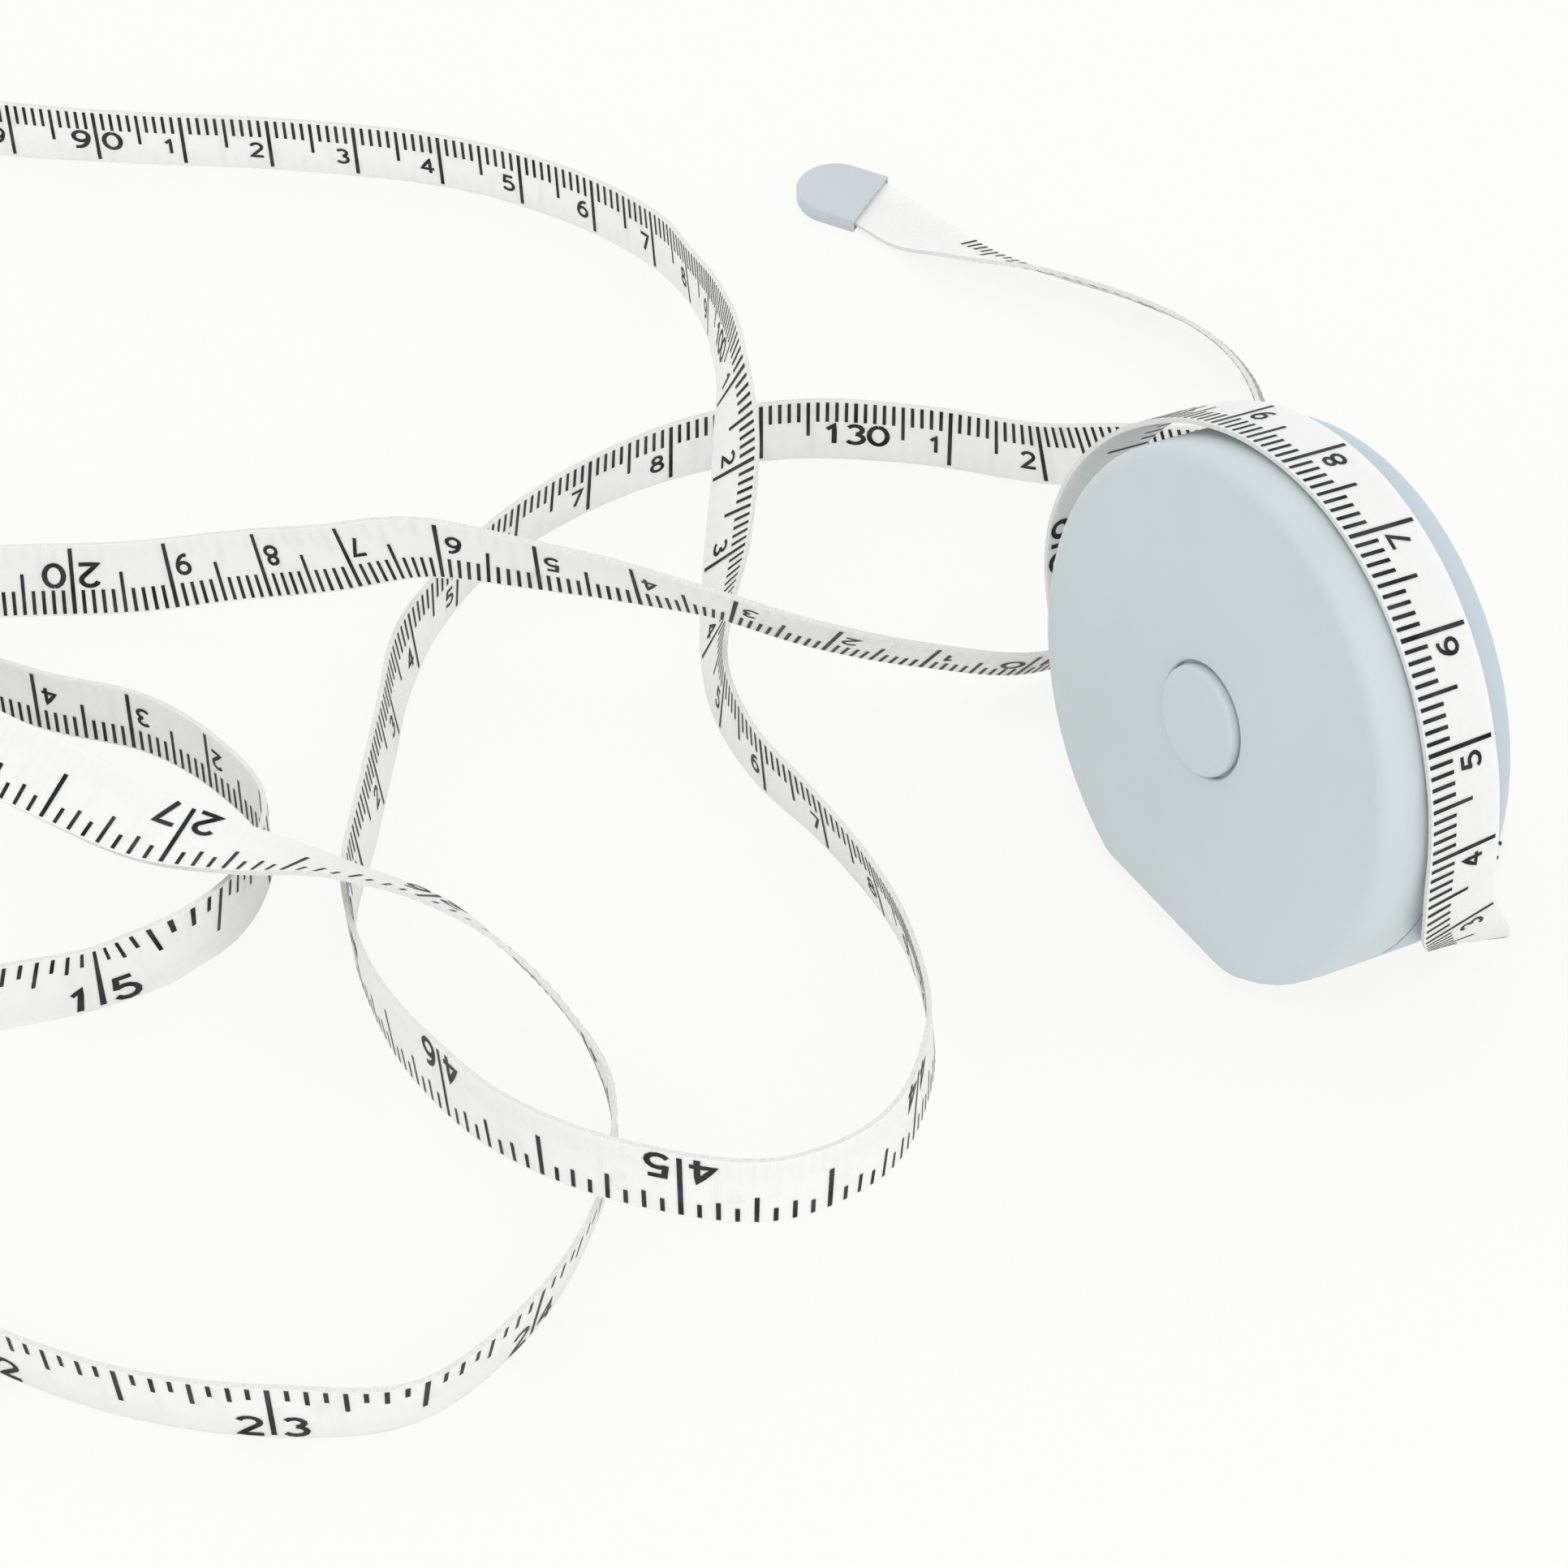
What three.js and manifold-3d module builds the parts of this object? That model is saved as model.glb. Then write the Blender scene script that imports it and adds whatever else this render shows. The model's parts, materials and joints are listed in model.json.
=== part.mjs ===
// Retractable cloth tape measure: round push-button case, tape pulled right out in loose loops.
// Millimetres, +Z up. The case leans back on its flat foot at z = 0; its front looks along -Y.
import * as THREE from 'three';
import { mergeVertices } from 'three/addons/utils/BufferGeometryUtils.js';
import Module from 'manifold-3d';

// Case
const CASE_R = 25;
const CASE_FRONT = -9;
const CASE_REAR = 7.4;
const FRONT_FILLET = 4;
const REAR_FILLET = 2;
const WALL = 1.4;
const LEAN_DEG = 7.4;
const PART_GAP = 0.3;
const ROUND = 64;
const FOOT_REACH = 22.4;

// Button and brake
const BUTTON_R = 5.2;
const BUTTON_PROUD = 0.8;
const BUTTON_FLANGE_R = 6.6;
const STEM_R = 2.6;
const SPIGOT_R = 1.5;
const BRAKE_R = 7.8;

// Reel
const DRUM_R = 13.2;
const DRUM_BORE = 11.4;
const FLANGE_R = 20.5;
const REEL_HALF = 5;
const REEL_INNER = 4.2;
const ARBOR_R = 4.6;
const ARBOR_BORE = 3.4;

// Tape
const TAPE_W = 7.5;
const TAPE_T = 0.45;
const FERRULE_L = 9;
const FERRULE_STRAIGHT = 4.4;
const FERRULE_W = 8.6;
const FERRULE_T = 1.9;

// Materials
const COLOURS = {
  shell: 0xc4d0d6,
  button: 0xcad6db,
  tape: 0xf6f6f3,
  ferrule: 0xafc0d0,
  steel: 0xa9adb1,
  reel: 0xe3e5e2,
  rubber: 0x3b3d40,
};

const wasm = await Module();
wasm.setup();

// Closed position-only copy of a geometry, facing outward
function tidy(geometry) {
  const plain = new THREE.BufferGeometry();
  plain.setAttribute('position', geometry.getAttribute('position').clone());
  if (geometry.index) plain.setIndex(geometry.index.clone());
  const merged = mergeVertices(plain, 1e-4);
  const p = merged.getAttribute('position');
  const kept = [];
  let volume = 0;
  const a = new THREE.Vector3();
  const b = new THREE.Vector3();
  const c = new THREE.Vector3();
  for (let i = 0; i < merged.index.count; i += 3) {
    const [u, v, w] = [0, 1, 2].map((k) => merged.index.getX(i + k));
    if (u === v || v === w || w === u) continue;
    kept.push(u, v, w);
    a.fromBufferAttribute(p, u);
    b.fromBufferAttribute(p, v);
    c.fromBufferAttribute(p, w);
    volume += a.dot(b.cross(c)) / 6;
  }
  if (volume < 0) {
    for (let i = 0; i < kept.length; i += 3) [kept[i], kept[i + 1]] = [kept[i + 1], kept[i]];
  }
  merged.setIndex(kept);
  return merged;
}

function toSolid(geometry) {
  const clean = tidy(geometry);
  const vertProperties = new Float32Array(clean.getAttribute('position').array);
  const triVerts = new Uint32Array(clean.index.array);
  return new wasm.Manifold(new wasm.Mesh({ numProp: 3, vertProperties, triVerts }));
}

function fromSolid(solid) {
  const mesh = solid.getMesh();
  const geometry = new THREE.BufferGeometry();
  const xyz = new Float32Array(mesh.numVert * 3);
  for (let i = 0; i < mesh.numVert; i += 1) {
    for (let k = 0; k < 3; k += 1) xyz[3 * i + k] = mesh.vertProperties[mesh.numProp * i + k];
  }
  geometry.setAttribute('position', new THREE.BufferAttribute(xyz, 3));
  geometry.setIndex(new THREE.BufferAttribute(new Uint32Array(mesh.triVerts), 1));
  return tidy(geometry);
}

// Profile of [radius, y] pairs turned about the case axis
function turned(profile, sides = ROUND) {
  const points = profile.map(([r, y]) => new THREE.Vector2(r, y));
  return tidy(new THREE.LatheGeometry(points, sides));
}

function ring(rIn, rOut, y0, y1, sides = 48) {
  return turned([[rIn, y0], [rOut, y0], [rOut, y1], [rIn, y1], [rIn, y0]], sides);
}

// Quarter round from one angle to another about a profile centre
function arc(r, y, radius, from, to, steps = 8) {
  const points = [];
  for (let i = 0; i <= steps; i += 1) {
    const angle = THREE.MathUtils.degToRad(from + ((to - from) * i) / steps);
    points.push([r + radius * Math.cos(angle), y + radius * Math.sin(angle)]);
  }
  return points;
}

// Box turned in the plane of the case face, placed at (x, z)
function facedBox(along, deep, thick, x, z, angle) {
  const box = new THREE.BoxGeometry(along, deep, thick);
  box.rotateY(-angle);
  box.translate(x, 0, z);
  return box;
}

// Tape path on the case: angle, radius and depth of points on the rim
const RIM_WRAP = [
  [-14, 26.4, 2.9], [-4, 26, 1.6], [7, 25.8, 0.9],
  [20, 25.7, 0.4], [40, 25.6, 0.1], [60, 25.6, 0], [80, 25.6, 0], [100, 25.7, 0],
  [118, 26.1, 0], [135, 26.8, 0], [152, 28.2, 0], [168, 29.6, 0], [183, 30.2, 0],
  [197, 29.2, 0], [209, 27.2, 0],
];
// Tape run from the mouth to the reel
const MOUTH_RUN = [[-20.2, -15.2], [-17, -16.7], [-12, -17.3], [-6, -17.4], [0, -17.4]];
const MOUTH_X = -18.7;
const MOUTH_Z = -15.9;
const MOUTH_ANGLE = Math.atan2(-1.5, 3.2);
const MOUTH_L = 3;
const MOUTH_Y = 8.8;
const MOUTH_H = 2.2;

// Front shell: domed face, round edge, ring boss that carries the reel, lap joint at the middle
const frontInner = CASE_FRONT + WALL;
const faceEdge = CASE_FRONT + 0.35;
const frontOuter = [
  [BUTTON_R + PART_GAP + 0.15, CASE_FRONT + 0.03],
  [12, CASE_FRONT + 0.1],
  ...arc(CASE_R - FRONT_FILLET, faceEdge + FRONT_FILLET, FRONT_FILLET, -90, 0),
];
const frontProfile = [
  [BUTTON_R + PART_GAP, CASE_FRONT + 0.18],
  ...frontOuter,
  [CASE_R, 0],
  [CASE_R - 0.6, 0],
  [CASE_R - 0.6, -1.2],
  [CASE_R - WALL, -1.2],
  ...arc(CASE_R - WALL - 2.4, frontInner + 2.4 + 0.35, 2.4, 0, -90, 5),
  [8.2, frontInner + 0.1],
  [8.2, -REEL_HALF - 0.4],
  [7.0, -REEL_HALF - 0.4],
  [7.0, frontInner],
  [BUTTON_R + PART_GAP, frontInner],
  [BUTTON_R + PART_GAP, CASE_FRONT + 0.18],
];

// Rear shell: plain back, tongue that slides into the lap joint, hole for the arbor screw
const rearInner = CASE_REAR - WALL;
const rearOuter = arc(CASE_R - REAR_FILLET, CASE_REAR - REAR_FILLET, REAR_FILLET, 90, 0);
const rearProfile = [
  [1.3, CASE_REAR - 1.2],
  [2.6, CASE_REAR - 1.2],
  [2.6, CASE_REAR],
  ...rearOuter,
  [CASE_R, PART_GAP],
  [CASE_R - 0.9, PART_GAP],
  [CASE_R - 0.9, -0.9],
  [CASE_R - WALL, -0.9],
  ...arc(CASE_R - WALL - 1.4, rearInner - 1.4, 1.4, 0, 90, 4),
  [1.3, rearInner],
  [1.3, CASE_REAR - 1.2],
];

// Flat foot: the rim is cut off at the bottom and closed by a wall of its own in each shell
function footWall(bodyProfile, y0, y1) {
  const slab = new THREE.BoxGeometry(30, y1 - y0, WALL);
  slab.translate(0, (y0 + y1) / 2, -FOOT_REACH + WALL / 2);
  return toSolid(slab).intersect(toSolid(turned(bodyProfile)));
}
const lapIn = CASE_R - WALL - PART_GAP;
const frontBody = [[0, CASE_FRONT + 0.03], ...frontOuter, [CASE_R, -1.2], [lapIn, -1.2], [lapIn, 0], [0, 0]];
const rearBody = [[0, PART_GAP], [CASE_R, PART_GAP], ...rearOuter.slice().reverse(), [0, CASE_REAR]];
const frontFoot = footWall(frontBody, CASE_FRONT, 0);
const rearFoot = footWall(rearBody, PART_GAP, CASE_REAR);

// Both shells share the slot of the mouth and the flat foot
const slotY = MOUTH_Y + 2 * PART_GAP;
const slotH = MOUTH_H + 2 * PART_GAP;
const mouthSolid = toSolid(facedBox(14, slotY, slotH, MOUTH_X, MOUTH_Z, MOUTH_ANGLE));
const footSolid = toSolid(facedBox(40, 40, 8, 0, -FOOT_REACH - 4, 0));
const rimCuts = mouthSolid.add(footSolid);
const frontShell = fromSolid(toSolid(turned(frontProfile)).add(frontFoot).subtract(rimCuts));
const rearShell = fromSolid(toSolid(turned(rearProfile)).add(rearFoot).subtract(rimCuts));

// Mouth guide: a short flat sleeve that the tape slides through
const guideOuter = toSolid(facedBox(MOUTH_L, MOUTH_Y, MOUTH_H, MOUTH_X, MOUTH_Z, MOUTH_ANGLE));
const guideInner = toSolid(facedBox(MOUTH_L + 2, TAPE_W + 0.7, 1.3, MOUTH_X, MOUTH_Z, MOUTH_ANGLE));
const mouthGuide = fromSolid(guideOuter.subtract(guideInner));

// Push button: low dome, flange behind the face, stem and spigot for the brake disc
const buttonTop = CASE_FRONT - BUTTON_PROUD;
const pushButton = turned([
  [0, buttonTop],
  [2.6, buttonTop + 0.05],
  ...arc(BUTTON_R - 0.4, buttonTop + 0.5, 0.4, -90, 0, 5),
  [BUTTON_R, frontInner + PART_GAP],
  [BUTTON_FLANGE_R, frontInner + PART_GAP],
  [BUTTON_FLANGE_R, frontInner + 1.0],
  [STEM_R, frontInner + 1.0],
  [STEM_R, -3.0],
  [SPIGOT_R, -3.0],
  [SPIGOT_R, -0.8],
  [0, -0.8],
], 44);
const brakePad = ring(4.5, BRAKE_R - 0.4, -REEL_INNER + PART_GAP, -3.3);
const brakeDisc = ring(SPIGOT_R + PART_GAP, BRAKE_R, -2.7, -1.9);
const buttonClip = ring(SPIGOT_R + PART_GAP, 3.0, -1.6, -1.1, 32);

// Arbor: hollow post on the back shell, screwed from behind
const arborFloor = 4.4;
const arborPost = turned([
  [0, arborFloor],
  [ARBOR_BORE, arborFloor],
  [ARBOR_BORE, -0.4],
  [ARBOR_R, -0.4],
  [ARBOR_R, 5.2],
  [6.2, 5.2],
  [6.2, rearInner - PART_GAP],
  [1.3, rearInner - PART_GAP],
  [1.3, arborFloor + 0.7],
  [0, arborFloor + 0.7],
  [0, arborFloor],
], 48);
const screwSlot = new THREE.BoxGeometry(5, 1, 0.5).translate(0, CASE_REAR - 0.2, 0);
const screwBody = turned([
  [0, arborFloor + 1.0],
  [1.0, arborFloor + 1.0],
  [1.0, CASE_REAR - 0.9],
  [2.2, CASE_REAR - 0.9],
  [2.2, CASE_REAR - 0.2],
  [1.5, CASE_REAR],
  [0, CASE_REAR],
], 32);
const arborScrew = fromSolid(toSolid(screwBody).subtract(toSolid(screwSlot)));

// Reel: drum with two flanges, collar on the front boss, notch for the tape anchor
const anchorX = 12.3;
const reelProfile = [
  [8.5, -REEL_HALF - 1.7],
  [9.5, -REEL_HALF - 1.7],
  [9.5, -REEL_HALF],
  [FLANGE_R, -REEL_HALF],
  [FLANGE_R, -REEL_INNER],
  [DRUM_R, -REEL_INNER],
  [DRUM_R, REEL_INNER],
  [FLANGE_R, REEL_INNER],
  [FLANGE_R, REEL_HALF],
  [DRUM_BORE, REEL_HALF],
  [DRUM_BORE, -REEL_INNER],
  [4.0, -REEL_INNER],
  [4.0, -REEL_HALF],
  [8.5, -REEL_HALF],
  [8.5, -REEL_HALF - 1.7],
];
const anchorNotch = new THREE.CylinderGeometry(0.6, 0.6, 20, 16).translate(anchorX, 0, 0);
const reelDrum = fromSolid(toSolid(turned(reelProfile, 48)).subtract(toSolid(anchorNotch)));
const anchorPin = tidy(new THREE.CylinderGeometry(0.3, 0.3, 9, 12).translate(anchorX, 0, 0));
const reelLid = ring(ARBOR_R + PART_GAP, DRUM_BORE - PART_GAP, 4.2, 4.9, 48);

// Flat ribbon through stations of centre point and edge direction
function ribbon(stations, width, thick) {
  const xyz = [];
  const index = [];
  const normal = new THREE.Vector3();
  const last = stations.length - 1;
  stations.forEach(({ p, f, run }, i) => {
    const before = stations[Math.max(i - 1, 0)].p;
    const after = stations[Math.min(i + 1, last)].p;
    const tangent = run ?? after.clone().sub(before).normalize();
    const edge = f.clone().addScaledVector(tangent, -f.dot(tangent)).normalize();
    normal.crossVectors(tangent, edge);
    for (const [a, b] of [[1, 1], [-1, 1], [-1, -1], [1, -1]]) {
      const corner = p.clone();
      corner.addScaledVector(edge, (a * width) / 2);
      corner.addScaledVector(normal, (b * thick) / 2);
      xyz.push(corner.x, corner.y, corner.z);
    }
  });
  for (let i = 0; i < last; i += 1) {
    for (let k = 0; k < 4; k += 1) {
      const a = 4 * i + k;
      const b = 4 * i + ((k + 1) % 4);
      index.push(a, b, b + 4, a, b + 4, a + 4);
    }
  }
  const end = 4 * last;
  index.push(0, 2, 1, 0, 3, 2, end, end + 1, end + 2, end, end + 2, end + 3);
  const geometry = new THREE.BufferGeometry();
  geometry.setAttribute('position', new THREE.Float32BufferAttribute(xyz, 3));
  geometry.setIndex(index);
  return tidy(geometry);
}

// Flat spiral about the case axis, centred at y
function spiral(rStart, pitch, turns, y, stepsPerTurn, startAngle) {
  const stations = [];
  const steps = Math.round(turns * stepsPerTurn);
  for (let i = 0; i <= steps; i += 1) {
    const turn = i / stepsPerTurn;
    const angle = startAngle + 2 * Math.PI * turn;
    const r = rStart + pitch * turn;
    stations.push({
      p: new THREE.Vector3(r * Math.cos(angle), y, r * Math.sin(angle)),
      f: new THREE.Vector3(0, 1, 0),
    });
  }
  return stations;
}

// Mainspring: flat coils between the arbor and the drum
const SPRING_T = 0.3;
const SPRING_W = 3.6;
const SPRING_PITCH = 0.84;
const SPRING_TURNS = 6.75;
const mainspring = ribbon(
  spiral(ARBOR_R + 0.45, SPRING_PITCH, SPRING_TURNS, 1.9, 20, 0),
  SPRING_W,
  SPRING_T,
);

// Tape left on the reel: the last turn of the tail
const TAIL_PITCH = 0.9;
const TAIL_TURNS = 1.25;
const tapeTail = ribbon(spiral(DRUM_R + 0.55, TAIL_PITCH, TAIL_TURNS, 0, 32, 0), TAPE_W, TAPE_T);

// Button spring: round wire coil inside the arbor
const COIL_R = 2.55;
const WIRE_R = 0.25;
const COIL_TURNS = 4;
const COIL_PITCH = 1.05;
const COIL_SIDES = 6;
function coil() {
  const xyz = [];
  const index = [];
  const steps = COIL_TURNS * 20;
  for (let i = 0; i <= steps; i += 1) {
    const angle = (2 * Math.PI * COIL_TURNS * i) / steps;
    const y = -0.5 + (COIL_PITCH * COIL_TURNS * i) / steps;
    for (let k = 0; k < COIL_SIDES; k += 1) {
      const side = (2 * Math.PI * k) / COIL_SIDES;
      const r = COIL_R + WIRE_R * Math.cos(side);
      xyz.push(r * Math.cos(angle), y + WIRE_R * Math.sin(side), r * Math.sin(angle));
    }
  }
  for (let i = 0; i < steps; i += 1) {
    for (let k = 0; k < COIL_SIDES; k += 1) {
      const a = COIL_SIDES * i + k;
      const b = COIL_SIDES * i + ((k + 1) % COIL_SIDES);
      index.push(a, b, b + COIL_SIDES, a, b + COIL_SIDES, a + COIL_SIDES);
    }
  }
  const end = COIL_SIDES * steps;
  for (let k = 1; k < COIL_SIDES - 1; k += 1) {
    index.push(0, k + 1, k, end, end + k, end + k + 1);
  }
  const geometry = new THREE.BufferGeometry();
  geometry.setAttribute('position', new THREE.Float32BufferAttribute(xyz, 3));
  geometry.setIndex(index);
  return tidy(geometry);
}
const buttonSpring = coil();
console.log('coil gap', (COIL_PITCH - 2 * WIRE_R).toFixed(2), 'mainspring gap',
  (SPRING_PITCH - SPRING_T).toFixed(2), 'tail gap', (TAIL_PITCH - TAPE_T).toFixed(2));

// Case pose: leaned back on the rear edge of its foot, outline centred on the origin
const lean = THREE.MathUtils.degToRad(LEAN_DEG);
const reachDown = FOOT_REACH * Math.cos(lean) + CASE_REAR * Math.sin(lean);
const reachFront = -(faceEdge + FRONT_FILLET) * Math.cos(lean)
  + (CASE_R - FRONT_FILLET) * Math.sin(lean) + FRONT_FILLET;
const reachBack = (CASE_REAR - REAR_FILLET) * Math.cos(lean)
  + (CASE_R - REAR_FILLET) * Math.sin(lean) + REAR_FILLET;
const casePose = new THREE.Matrix4().makeRotationX(-lean);
casePose.setPosition(0, (reachFront - reachBack) / 2, reachDown);
console.log('case axis height', reachDown.toFixed(2), 'shift', ((reachFront - reachBack) / 2).toFixed(2));

// Tape route on the floor, from the free end to the back of the case:
// plan x, plan y, height of the lower edge, lean of the upper edge to the left of the run in degrees
const ROUTE = [
  [-118.6, 22.8, 0.85, -96], [-111.2, 27.1, 0.8, -96], [-103.6, 29.5, 0.5, -90], [-95.1, 31.5, 0.5, -66],
  [-86.6, 36.7, 0.2, -50], [-78.7, 41.3, 0.2, -49], [-70.6, 44.1, 0.2, -46], [-61.4, 43.6, 0.2, -34],
  [-51.5, 39, 0.2, -12], [-43.2, 31.2, 0.2, 16], [-36.6, 21.2, 0.2, 28], [-33.9, 10.4, 0.2, 24],
  [-32.3, -1.8, 1.2, 36], [-36.7, -12.6, 3.6, 34], [-41.6, -22, 6.8, 31], [-48, -29.8, 9.5, 29],
  [-54.7, -35.4, 9.5, 20], [-62.1, -42.4, 9.5, 12], [-69.6, -50.1, 9.5, 2], [-76.8, -57.1, 6, -6],
  [-84.4, -63.9, 2.6, -13], [-90.2, -71.9, 0.6, -20], [-97.4, -84.2, 0.2, -22], [-104.6, -99.6, 0.2, -16],
  [-108, -117, 0.2, -8], [-105.3, -133.8, 0.2, 0], [-95.7, -148.4, 0.2, 0], [-80.3, -156.9, 1.2, 0],
  [-64.1, -156.3, 4.5, 0], [-50.6, -146.1, 8.2, 0], [-42.7, -131.7, 9.6, 0], [-40.8, -118.2, 5.5, 0],
  [-41.5, -107.2, 2, 0], [-41, -98, 0.2, 0], [-39.2, -89.9, 2.4, 0], [-44.6, -81.4, 0.2, 0],
  [-51.5, -76.4, 0.2, 0], [-61.5, -77, 0.2, 0], [-70.1, -80.3, 0.2, 0], [-77.2, -86.5, 0.2, 0],
  [-87.5, -94.7, 0.2, 0], [-92.4, -105.4, 0.2, 0], [-86.2, -115.7, 0.2, 0], [-69.5, -122.8, 0.2, 0],
  [-50.3, -128.8, 0.2, -6], [-32.6, -131.3, 0.2, -8], [-17.7, -129, 0.2, -8], [-5.5, -123, 0.2, -8],
  [4.4, -115.4, 0.2, -8], [12, -106.1, 0.2, -7], [16.8, -96.2, 0.2, -15], [14, -84.4, 0.2, -14],
  [7, -74.1, 0.2, -13], [-3, -66.5, 0.6, 2], [-11.3, -65.4, 2.8, 20], [-19.7, -67.5, 6.2, 30],
  [-26.9, -71.3, 9, 45], [-34.2, -76.7, 9.7, 54], [-41.5, -81.9, 9.7, 76], [-49.6, -88.2, 9.7, 100],
  [-58.9, -93.7, 9.7, 118], [-70.1, -99.6, 9.7, 132], [-84.4, -104.9, 9.7, 148], [-101.9, -109.7, 9.7, 164],
  [-119.7, -112.5, 7, 174], [-140.9, -112.5, 3.2, 180], [-162.8, -108.2, 0.6, 180], [-182.3, -98.6, 0.2, 180],
  [-192.9, -83.9, 0.2, 180], [-187.8, -66.6, 0.2, 180], [-171.8, -51.9, 0.2, 177], [-162.5, -40.3, 0.2, 172],
  [-150.9, -24.3, 0.2, 172], [-137.9, -10.1, 0.2, 173], [-125, -2, 0.2, 178], [-112.4, 1.1, 0.9, 180],
  [-99.9, -1, 3.4, 180], [-88.1, -5.2, 7.2, 190], [-78.2, -9.7, 9.6, 200], [-69.4, -14.4, 7, 216],
  [-61.4, -20.2, 2.6, 218], [-53.4, -26.1, 0.2, 204], [-44.5, -30.7, 0.2, 186], [-35.2, -32.3, 0.2, 176],
  [-25.2, -31.7, 0.2, 170], [-14, -32, 0.2, 169], [-0.9, -36.2, 3.4, 172], [12.5, -44, 8, 178],
  [21.4, -54.5, 11.4, 180], [21.5, -64.4, 12, 180], [14.2, -73.4, 12, 180], [4.2, -79.6, 11.6, 180],
  [-9.6, -81.2, 8.6, 180], [-24.9, -79, 3.6, 184], [-38.7, -74.3, 0.2, 184], [-47.8, -67.7, 0.2, 187],
  [-57, -61, 0.2, 187], [-65, -55.2, 0.2, 188], [-71.2, -48.1, 0.2, 178], [-76.8, -37.9, 0.2, 171],
  [-79.9, -25.2, 0.2, 173], [-79.8, -13, 0.2, 178], [-76.4, -2.4, 0.2, 180], [-68.9, 7.9, 0.2, 180],
  [-59.1, 16.6, 0.8, 180],
];

// Rise behind the case to its right-hand rim: centre point and direction of the upper edge
const RISE = [
  [-48.6, 22.6, 8.8, 0, 0, 1], [-38.5, 27, 12, 0, 0, 1], [-29, 22.6, 11.2, 0, -0.05, 1],
  [-19.5, 15.2, 8.8, -0.1, -0.15, 0.97], [-9.5, 17.6, 6.5, -0.25, -0.35, 0.88],
  [-1.8, 24.2, 4.4, -0.38, -0.55, 0.72], [5.4, 21.8, 2.9, -0.47, -0.7, 0.5],
  [9.9, 16.6, 2.2, -0.51, -0.79, 0.28], [13, 13, 2.2, -0.53, -0.83, 0.12],
  [17.2, 10.7, 3.8, -0.5, -0.86, 0.06], [21.9, 7.9, 7.4, -0.28, -0.955, 0.08],
  [24.6, 4.4, 12.7, -0.06, -0.99, 0.13],
];

// Centre points and edge directions at every route point; the edge is the one with centimetre ticks
function routeKnots() {
  const knots = ROUTE.map(([x, y, low, tilt], i) => {
    const before = ROUTE[Math.max(i - 1, 0)];
    const after = ROUTE[Math.min(i + 1, ROUTE.length - 1)];
    const run = new THREE.Vector3(after[0] - before[0], after[1] - before[1], 0).normalize();
    const left = new THREE.Vector3(-run.y, run.x, 0);
    const angle = THREE.MathUtils.degToRad(tilt);
    const upright = Math.abs(Math.cos(angle)) * (TAPE_W / 2);
    const height = low + upright + Math.abs(Math.sin(angle)) * (TAPE_T / 2);
    return {
      p: new THREE.Vector3(x, y, height),
      f: new THREE.Vector3(0, 0, -Math.cos(angle)).addScaledVector(left, -Math.sin(angle)),
    };
  });
  for (const [x, y, z, fx, fy, fz] of RISE) {
    knots.push({ p: new THREE.Vector3(x, y, z), f: new THREE.Vector3(fx, fy, fz).normalize() });
  }
  const forward = new THREE.Vector3(0, -1, 0).transformDirection(casePose);
  const onRim = RIM_WRAP.map(([deg, r, y]) => {
    const angle = THREE.MathUtils.degToRad(deg);
    return new THREE.Vector3(r * Math.cos(angle), y, r * Math.sin(angle));
  });
  const inMouth = MOUTH_RUN.map(([x, z]) => new THREE.Vector3(x, 0, z));
  for (const p of [...onRim, ...inMouth]) {
    knots.push({ p: p.applyMatrix4(casePose), f: forward.clone() });
  }
  return knots;
}

// Fine stations along one smooth curve through the knots
const FINE = 24;
const knots = routeKnots();
const spine = new THREE.CatmullRomCurve3(knots.map((k) => k.p), false, 'centripetal');
const edges = new THREE.CatmullRomCurve3(knots.map((k) => k.f), false, 'centripetal');
const fine = [];
let travelled = 0;
for (let i = 0; i <= (knots.length - 1) * FINE; i += 1) {
  const t = i / ((knots.length - 1) * FINE);
  const p = spine.getPoint(t);
  if (i > 0) travelled += p.distanceTo(fine[i - 1].p);
  fine.push({ p, f: edges.getPoint(t).normalize(), run: spine.getTangent(t), s: travelled });
}
const knotAt = (n) => fine[n * FINE].s;

// Stations between two lengths along the tape
function stretch(from, to, step) {
  const count = Math.ceil((to - from) / step);
  const stations = [];
  let j = 0;
  for (let i = 0; i <= count; i += 1) {
    const s = from + ((to - from) * i) / count;
    while (j < fine.length - 2 && fine[j + 1].s < s) j += 1;
    const part = (s - fine[j].s) / (fine[j + 1].s - fine[j].s);
    const p = fine[j].p.clone().lerp(fine[j + 1].p, part);
    const f = fine[j].f.clone().lerp(fine[j + 1].f, part).normalize();
    const run = fine[j].run.clone().lerp(fine[j + 1].run, part).normalize();
    stations.push({ p, f, run, s });
  }
  return stations;
}

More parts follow.
